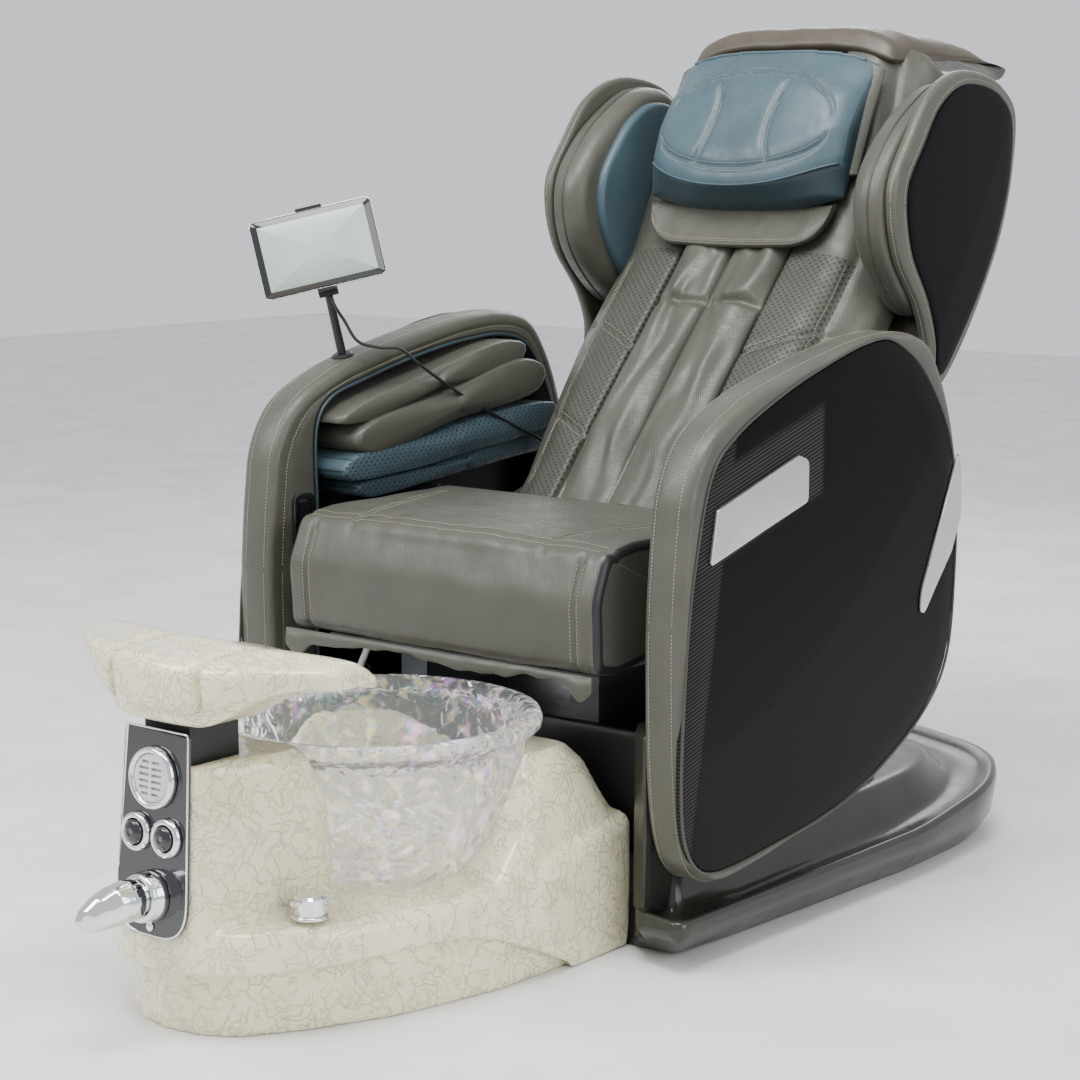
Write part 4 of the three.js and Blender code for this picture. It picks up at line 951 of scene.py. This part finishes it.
def seat_rows():
    """Stitching on both sides of each seam of the seat cushion."""
    rows = []
    for y, z in ((-186, 571), (-205, 566)):
        nearest = min(range(len(SEAT_OUTLINE)), key=lambda k: (SEAT_OUTLINE[k] - Vector((y, z))).length)
        across = [lerp(-268, 268, i / 90) for i in range(91)]
        rows.append([seat_point(x, nearest) + Vector((0, -0.6, 0.8)) for x in across])
    top = [k for k, p in enumerate(SEAT_OUTLINE) if p.y > 560 and -180 < p.x < 60]
    front = [k for k, p in enumerate(SEAT_OUTLINE) if 410 < p.y < 550 and p.x < -200]
    for side in (-1, 1):
        for shift in (-SEAM_STITCH_GAP, SEAM_STITCH_GAP):
            along = [(side * (seat_side_seam(SEAT_OUTLINE[k].x) + shift), k) for k in top]
            rows.append([seat_point(x, k) + Vector((0, 0, 0.8)) for x, k in along])
            rows.append([seat_point(side * (FRONT_SEAM_X + shift), k) + Vector((0, -0.8, 0)) for k in front])
    return rows


place(stitches("seat_stitching", seat_rows(), thread), body="seat")


def seat_apron():
    """A short skirt with a wavy hem whose corners hang lower."""
    rings = []
    for i in range(161):
        x = lerp(-282, 282, i / 160)
        hang = 15 + 5 * math.sin(x / 46) + 4 * noise.noise(Vector((x / 30, 5, 1)))
        bottom = 403 - hang - 23 * math.exp(-((abs(x) - 262) / 20) ** 2)
        y = -245 + 4 * math.sin(x / 21) * noise.noise(Vector((x / 50, 1, 1)))
        middle = lerp(403, bottom, 0.5)
        rings.append([Vector((x, y, 403)), Vector((x, y - 1.2, middle)), Vector((x, y - 1.6, bottom + 4)),
                      Vector((x, y, bottom)), Vector((x, y + 2.4, bottom)), Vector((x, y + 4, bottom + 4)),
                      Vector((x, y + 3.2, middle)), Vector((x, y + 3, 403))])
    return loft("seat_apron_skin", rings, grey_leather)


place(seat_apron(), "seat_apron")

# ---- back
BACK_BEND, BEND_BLEND, BACK_END_RADIUS = 520, 90, 72
LOWER_DIR = Vector((355, 380)).normalized()
UPPER_DIR = Vector((139, 288)).normalized()
COVER_HALF, COVER_DEPTH = 100, 22
RIM_SHARE = 0.80


def back_point(x, s, n):
    """s runs up the middle of the back's face and n out of it, towards the sitter."""
    corner = HINGE + Vector((0, BACK_END_RADIUS))
    if s > BACK_BEND:
        corner = corner + LOWER_DIR * BACK_BEND + UPPER_DIR * (s - BACK_BEND)
    else:
        corner = corner + LOWER_DIR * s
    bent = smoothstep(s, BACK_BEND - BEND_BLEND, BACK_BEND + BEND_BLEND)
    face = LOWER_DIR.lerp(UPPER_DIR, bent).normalized()
    return Vector((x, corner.x - face.y * n, corner.y + face.x * n))


CUSHION_STATIONS = [  # s, half width, depth and depth of the widest place
    (-14, 200, 70, 50), (0, 218, 96, 60), (70, 228, 128, 72), (180, 244, 128, 72), (330, 262, 128, 72),
    (430, 265, 128, 72), (520, 265, 128, 72), (610, 264, 128, 72), (720, 255, 128, 72), (858, 235, 128, 72),
    (878, 215, 120, 66)]


def station_at(s):
    for a, b in zip(CUSHION_STATIONS, CUSHION_STATIONS[1:]):
        if s <= b[0]:
            t = (s - a[0]) / (b[0] - a[0])
            return [lerp(u, v, t) for u, v in zip(a, b)][1:]
    return CUSHION_STATIONS[-1][1:]


def cushion_outline(s):
    width, depth, recess = station_at(s)
    half = [(COVER_HALF + 2, -COVER_DEPTH, 2), (COVER_HALF + 5, -9, 5), (width * 0.72, -17, 60),
            (width, -recess, 26), (width, -depth + 14, 10), (width * 0.94, -depth, 10)]
    whole = rounded(half + [(-x, n, r) for x, n, r in reversed(half)], 8)
    return resample(whole + whole[:1], 221)[:-1]


LINER_SEAMS = (120, 300)


def cushion_skin(x, n, s):
    """The cushion's section point, pressed in along its seams and crowned between them."""
    lift = 0.0
    if n > -60 and abs(x) > COVER_HALF + 4:
        for seam in LINER_SEAMS:
            line = seam + 0.55 * (abs(x) - COVER_HALF)
            lift -= 6 * math.exp(-((s - line) / 7) ** 2)
        rim = station_at(s)[0] * RIM_SHARE
        lift -= 5 * math.exp(-((abs(x) - rim) / 6) ** 2) * smoothstep(s, 10, 60)
        across = min(1, max(0, (abs(x) - COVER_HALF) / (rim - COVER_HALF)))
        lift += 5 * math.sin(math.pi * across)
        lift += 2.5 * noise.noise(Vector((x / 60, s / 60, 3)))
        lift *= smoothstep(s, 10, 110)
    return n + lift


def back_cushion():
    stops = [-14, -8, -3, 0] + [6 + i * 6 for i in range(144)] + [872, 878]
    rings, kinds = [], []
    for s in stops:
        outline = cushion_outline(s)
        rings.append([back_point(p.x, s, cushion_skin(p.x, p.y, s)) for p in outline])
        rim = station_at(s)[0] * RIM_SHARE
        kinds.append([1 if p.y > -60 and COVER_HALF + 4 < abs(p.x) < rim and s < 500 else 0 for p in outline])
    return loft("back_cushion_skin", rings, [grey_leather, back_perforated], pick=lambda r, i: kinds[r][i])


place(back_cushion(), "back_cushion", fill=0.8)


def cushion_face(x, s, lift=1.0):
    """A point just above the cushion's face, found on its section."""
    outline = [p for p in cushion_outline(s) if p.x * x > 0 and p.y > -70]
    nearest = min(outline, key=lambda p: abs(p.x - x))
    return back_point(x, s, cushion_skin(x, nearest.y, s) + lift)


def liner_rows():
    """Stitching on both sides of the perforated liners' cross seams and long seams."""
    rows = []
    for side in (-1, 1):
        for shift in (-7, 7):
            for seam in LINER_SEAMS:
                rows.append([cushion_face(side * x, seam + shift + 0.55 * (x - COVER_HALF))
                             for x in range(108, 190, 4)])
            rows.append([cushion_face(side * (station_at(s)[0] * RIM_SHARE + shift), s)
                         for s in range(40, 500, 6)])
    return rows


place(stitches("back_stitching", liner_rows(), thread), body="back")

COVER_PINCH = 395


def cover_height(x, s):
    """Two ruched bands side by side, drawn in at the pinch and at the foot."""
    across = (abs(x) - COVER_HALF / 2) / (COVER_HALF / 2)
    band = math.sqrt(max(0.0, 1 - across * across))
    drift = 3.2 * noise.noise(Vector((x / 45, s / 140, 3.7)))
    folds = 4.0 * math.sin(abs(x) / 8.5 + drift) + 7 * noise.noise(Vector((x / 32, s / 75, 1.3)))
    gathered = math.exp(-((s - COVER_PINCH) / 46) ** 2) + math.exp(-((s - BACK_BEND) / 40) ** 2)
    folds += 3.0 * gathered * math.sin(abs(x) / 5 + 1.5 * drift)
    pinch = math.exp(-((s - COVER_PINCH) / 9) ** 2)
    foot = lerp(0.30, 1.0, smoothstep(s, 20, 140))
    return -COVER_DEPTH + 4 + band * (27 + folds) * (1 - 0.5 * pinch) * foot


def massage_cover():
    rings = []
    for i in range(200):
        s = lerp(2, BACK_BEND, i / 199)
        half = lerp(92, COVER_HALF, smoothstep(s, 0, 60))
        ring = []
        for k in range(73):
            x = lerp(-half, half, k / 72)
            ring.append(back_point(x, s, cover_height(x * COVER_HALF / half, s)))
        ring += [back_point(half * k, s, -COVER_DEPTH + 0.6) for k in (0.98, 0.3, -0.3, -0.98)]
        rings.append(ring)
    return loft("massage_cover_skin", rings, grey_leather)


place(massage_cover(), "massage_cover", fill=0.4)


# ---- neck flap
FLAP_HALF = 172


def flap_hem(x):
    """The hem bows down in the middle and turns up to the pillow at its ends."""
    t = abs(x) / FLAP_HALF
    return BACK_BEND - 22 + 9 * t * t + 66 * (1 - math.sqrt(max(0.0, 1 - max(0.0, (t - 0.62) / 0.38) ** 2)))


def neck_flap():
    rings = []
    for x in crowded(FLAP_HALF, 160):
        low, high = flap_hem(x), BACK_BEND + 62
        wave = 3 * noise.noise(Vector((x / 38, 8, 1)))
        fold = 4 * math.exp(-((x - 70 - 0.5 * low) / 300) ** 2) * math.sin(x / 24)
        face = [(high, 8), (lerp(high, low, 0.3), 13 + wave + fold), (lerp(high, low, 0.65), 17 + wave)]
        hem = [(low + 6, 15), (low + 4, 17), (low + 1, 17), (low - 1, 13), (low, 8), (low + 2, 4)]
        rings.append([back_point(x, s, n) for s, n in face + hem + [(high, 1.5)]])
    return loft("neck_flap_skin", rings, grey_leather, subdivide=1)


place(neck_flap(), "neck_flap", fill=0.3)
flap_rows = [[back_point(x, flap_hem(x) + shift, 16.6) for x in range(-150, 151, 3)] for shift in (7.5, 12)]
place(stitches("neck_flap_stitching", flap_rows, thread), body="back")

# ---- pillow
PILLOW_HALF, BACKING_HALF = 184, 194
GUSSET_POINTS = 30
PILLOW_MIDDLE = BACK_BEND + 180
LEAF_HALF = 158
SEAM_DEPTH = 5.5


def pillow_leaf(x):
    """Lower and upper edge of the oval panel on the pillow's front."""
    arch = math.sqrt(max(0.0, 1 - (x / LEAF_HALF) ** 2))
    return PILLOW_MIDDLE - 18 - 70 * arch, PILLOW_MIDDLE + 4 + 88 * arch


def cross_seam_x(s):
    """Where the two seams across the leaf stand, bowed outwards above and below its middle."""
    return 52 + 20 * ((s - PILLOW_MIDDLE) / 90) ** 2


def pillow_seam_depth(x, s):
    """How deep the skin is drawn in at a place on the front."""
    low, high = pillow_leaf(x)
    depth = 0.0
    if abs(x) < LEAF_HALF:
        depth += math.exp(-((s - low) / 5) ** 2) + math.exp(-((s - high) / 5) ** 2)
    if low < s < high:
        depth += math.exp(-((abs(x) - cross_seam_x(s)) / 5) ** 2)
    return min(depth, 1.0) * SEAM_DEPTH


def pillow_section(x):
    """The outline of the section at x; its first GUSSET_POINTS run up to the front seam."""
    t = abs(x) / PILLOW_HALF
    puff = math.sqrt(max(0.02, 1 - 0.93 * t ** 4))
    low = BACK_BEND + 46 + 26 * t ** 3
    high = BACK_BEND + 322 - 20 * t ** 3
    seam = low + 16 + 34 * t * t
    corners = [(low, 5, 8), (low + 1, 34 * puff, 26), (seam, 12 + 60 * puff, 9),
               (seam + 58, 14 + 68 * puff, 60), (high - 80, 10 + 60 * puff, 80), (high, 26 * puff, 30),
               (high, 4, 6)]
    outline = rounded(corners, 10)
    gusset = resample(outline[:28], GUSSET_POINTS + 1)[:-1]
    front = resample(outline[27:] + outline[:1], 122)[:-1]
    return gusset + front


def pillow():
    stations = crowded(PILLOW_HALF, 120)
    rings = []
    for x in stations:
        ring = []
        for k, (s, n) in enumerate(pillow_section(x)):
            front = smoothstep(n, 14, 30)
            lift = 2.0 * noise.noise(Vector((x / 50, s / 50, 9))) * front
            lift -= pillow_seam_depth(x, s) * front + 2.5 * math.exp(-((k - GUSSET_POINTS) / 2) ** 2)
            ring.append(back_point(x, s, n + lift))
        rings.append(ring)
    return loft("pillow_skin", rings, [teal_leather, deep_teal],
                pick=lambda r, i: 1 if i < GUSSET_POINTS or abs(stations[r]) > PILLOW_HALF - 4 else 0)


def pillow_face(x, s):
    """A point just above the pillow's front."""
    front = pillow_section(x)[GUSSET_POINTS:GUSSET_POINTS + 90]
    nearest = min(front, key=lambda p: abs(p.x - s))
    return back_point(x, s, nearest.y - pillow_seam_depth(x, s) + 1.2)


def pillow_rows():
    """Stitching on both sides of the leaf's edge and of its two cross seams."""
    rows = []
    for shift in (-6, 6):
        for edge in (0, 1):
            rows.append([pillow_face(x, pillow_leaf(x)[edge] + shift) for x in range(-150, 151, 5)])
        for side in (-1, 1):
            rows.append([pillow_face(side * (cross_seam_x(s) + shift), s)
                         for s in range(PILLOW_MIDDLE - 70, PILLOW_MIDDLE + 78, 4)])
    return rows


def pillow_piping(name, half, count, radius, lift, pick):
    """A cord across the pillow along the point that pick takes from each section."""
    path = []
    for i in range(count):
        x = lerp(-half, half, i / (count - 1))
        edge = pick(pillow_section(x))
        path.append(back_point(x, edge.x, edge.y + lift))
    return tube(name, path, radius, teal_leather)


place(pillow(), "pillow", fill=0.9)
place(stitches("pillow_stitching", pillow_rows(), thread), body="back")
PILLOW_PIPINGS = [  # name, half width, points, radius, lift and the point of the section that it follows
    ("pillow_piping", 164, 80, 3.0, 0.5, lambda section: max(section, key=lambda p: p.x + 0.9 * p.y)),
    ("pillow_gusset_piping", 178, 100, 1.8, -0.6, lambda section: section[GUSSET_POINTS])]
for facts in PILLOW_PIPINGS:
    place(pillow_piping(*facts), body="back", slot="blue_leather")


def pillow_backing():
    """The wider grey back of the pillow."""
    rings = []
    for x in crowded(BACKING_HALF, 80):
        t = abs(x) / BACKING_HALF
        puff = math.sqrt(max(0.02, 1 - 0.95 * t ** 6))
        low = BACK_BEND + 84 + 30 * t ** 3
        high = BACK_BEND + 326 - 30 * t ** 3
        corners = [(low, 2, 8), (low, 20 * puff, 20), (high - 60, 34 * puff, 50), (high, 20 * puff, 24),
                   (high, 2, 8)]
        rings.append([back_point(x, p.x, p.y) for p in rounded(corners, 8)])
    return loft("pillow_backing", rings, grey_leather)


place(pillow_backing(), body="back", slot="grey_leather", fill=0.6)

# ---- head flap, rear shell and wings
HEAD_FLAP_PROFILE = [
    (650, 1262, 8), (668, 1290, 24), (720, 1294, 60), (850, 1280, 60), (954, 1238, 5), (946, 1226, 5),
    (846, 1262, 50), (720, 1268, 60), (664, 1250, 8)]


def head_flap():
    """A loose flap over the top of the back, wider and lower towards its rear edge."""
    profile = rounded(HEAD_FLAP_PROFILE, 8)
    profile = resample(profile + profile[:1], 121)[:-1]
    middle = centre_of(profile)
    rings = []
    for across in crowded(238, 100):
        end = abs(across) / 240
        squeeze = max(0.3, math.sqrt(max(0.0, 1 - end ** 20)))
        ring = []
        for p in profile:
            x = across * lerp(0.80, 1.0, smoothstep(p.x, 640, 900))
            ripple = 3.0 * noise.noise(Vector((x / 60, p.x / 60, 4)))
            y = middle.x + (p.x - middle.x) * (0.92 + 0.08 * squeeze)
            ring.append(Vector((x, y, middle.y + (p.y - middle.y) * squeeze - 30 * end ** 4 + ripple)))
        rings.append(ring)
    return loft("head_flap_skin", rings, taupe_leather)


place(head_flap(), "head_flap", fill=0.3)


def shell_rows(shell):
    """Two double rows of stitching down the rear of the shell, found by looking at it from behind."""
    rows = []
    for x in (-155, -145, 145, 155):
        row = []
        for z in range(620, 1190, 8):
            hit, point, normal, _ = shell.ray_cast(Vector((x, 1600, z)) * MM, Vector((0, -1, 0)))
            if hit:
                row.append(point / MM + normal * 0.6)
        if len(row) > 2:
            rows.append(row)
    return rows


back_shell = remade("back_shell", dark_leather, 5, 12)
back_stitches = stitches("back_shell_stitching", shell_rows(back_shell), thread)
place(back_shell, "back_shell")
place(back_stitches, body="back")

WING_OUTLINE = spline([
    (429, 1000), (432, 1051), (473, 1112), (530, 1178), (608, 1213), (690, 1213), (755, 1195),
    (800, 1158), (798, 1060), (770, 970), (720, 885), (640, 785), (575, 728), (552, 722), (541, 752),
    (540, 797), (514, 856), (452, 932)], 360, True)
WING_PANEL = spline([
    (462, 1005), (466, 1046), (505, 1100), (552, 1158), (615, 1192), (686, 1194), (745, 1178),
    (782, 1145), (782, 1060), (752, 970), (703, 888), (630, 800), (578, 750), (562, 752), (560, 800),
    (535, 862), (480, 940)],
    360, True)
WING_PAD = spline([
    (424, 1000), (432, 1054), (478, 1114), (540, 1160), (612, 1194), (684, 1192), (716, 1160),
    (680, 1070), (636, 985), (592, 905), (556, 842), (520, 856), (446, 930)], 300, True)
WING_LINER = spline([
    (468, 1000), (474, 1050), (512, 1104), (556, 1146), (616, 1172), (672, 1162), (664, 1080), (626, 990),
    (584, 912), (560, 870), (538, 880), (488, 944)], 300, True)
WING_CENTRE = Vector((625, 1010))
LINER_CENTRE = Vector((585, 1040))


def wing_line(outline, centre, outwards, x, side):
    return side_line(outline, centre, 240, outwards, x, side)


WING_SLABS = [  # piece, outline, x from and to, bevel, material, dome, points, centre, fill
    ("shell", WING_OUTLINE, 316, 336, 9, grey_leather, -0.5, 300, WING_CENTRE, 0.7),
    ("panel", WING_PANEL, 330, 338.5, 3, ridged_panel, 0.6, 300, WING_CENTRE, None),
    ("pad", WING_PAD, 317, 254, 26, grey_leather, 6, 240, LINER_CENTRE, 0.8),
    ("liner", WING_LINER, 262, 240, 10, teal_leather, 5, 240, LINER_CENTRE, 0.8)]
for side, word in SIDES:
    for piece, outline, x0, x1, bevel, material, dome, count, centre, fill in WING_SLABS:
        name = f"wing_{piece}_skin_{word}"
        slab = side_slab(name, outline, x0, x1, bevel, material, dome, count, side, centre)
        place(slab, f"wing_{piece}_{word}", fill=fill)
    edge = wing_line(WING_PAD, LINER_CENTRE, -0.5, 290, side)
    place(tube("wing_piping_" + word, edge, 2.2, dark_leather, 8, True), body="back", slot="dark_leather")
    rows = [wing_line(outline, WING_CENTRE, outwards, x, side)
            for outline, outwards, x in ((WING_OUTLINE, 0.2, 327), (WING_PANEL, 7, 335.9))]
    place(stitches("wing_stitching_" + word, rows, thread), body="back")

# ---- tablet
TABLET = (Matrix.Translation((-376, -68, 947)) @ Matrix.Rotation(math.radians(38.5), 4, "Z")
          @ Matrix.Rotation(math.radians(-9), 4, "X") @ Matrix.Rotation(math.radians(-13.3), 4, "Y"))


def plate_outline(half_width, half_height, corner, steps):
    signs = ((-1, -1), (1, -1), (1, 1), (-1, 1))
    return rounded([(half_width * u, half_height * v, corner) for u, v in signs], steps)


def tablet_plate(name, half_width, half_height, front, rear, corner, bevel, material):
    outline = plate_outline(half_width, half_height, corner, 10)
    rings = []
    for distance, y in ((bevel, rear), (0, rear - bevel), (0, front + bevel), (bevel, front)):
        kx, kz = 1 - distance / half_width, 1 - distance / half_height
        rings.append([TABLET @ Vector((p.x * kx, y, p.y * kz)) for p in outline])
    return loft(name, rings, material)


place(tablet_plate("tablet_body", 94, 60, -8, 8, 9, 2, black_gloss), "tablet")
place(tablet_plate("tablet_screen", 83, 50, -8.35, -7, 2, 0.2, screen), body="tablet", slot="screen")
rim = [TABLET @ Vector((p.x, -6, p.y)) for p in plate_outline(94, 60, 9, 8)]
rim = resample(rim + rim[:1], 120)[:-1]
place(tube("tablet_rim", rim, 0.9, chrome, 8, True), body="tablet", slot="chrome")

# ---- studio
floor_mesh = bpy.data.meshes.new("floor")
floor_mesh.from_pydata([(-9, -9, 0), (9, -9, 0), (9, 9, 0), (-9, 9, 0)], [], [(0, 1, 2, 3)])
floor_mesh.materials.append(gloss("floor", (0.80, 0.80, 0.79), 0.6).material)
floor = bpy.data.objects.new("floor", floor_mesh)
bpy.context.collection.objects.link(floor)


def area_light(name, location, target, size, energy):
    data = bpy.data.lights.new(name, "AREA")
    data.shape = "RECTANGLE"
    data.size, data.size_y = size
    data.energy = energy
    light = bpy.data.objects.new(name, data)
    bpy.context.collection.objects.link(light)
    light.location = location
    light.rotation_euler = (Vector(target) - Vector(location)).to_track_quat("-Z", "Y").to_euler()
    return light


lights = [area_light("key", (-1.6, -3.0, 3.2), (0, 0, 0.5), (2.0, 1.4), 120),
          area_light("fill", (3.6, -0.6, 1.9), (0, 0, 0.6), (2.0, 2.2), 60),
          area_light("top", (0.4, -0.9, 3.6), (0, 0.2, 0.6), (2.0, 1.6), 135),
          area_light("rim", (-1.5, 3.2, 2.2), (0, 0.3, 0.8), (1.6, 1.6), 30)]
world = bpy.data.worlds.new("studio")
world.use_nodes = True
world.node_tree.nodes["Background"].inputs["Color"].default_value = (0.93, 0.95, 1.0, 1)
world.node_tree.nodes["Background"].inputs["Strength"].default_value = 0.95
bpy.context.scene.world = world

bpy.context.view_layer.update()
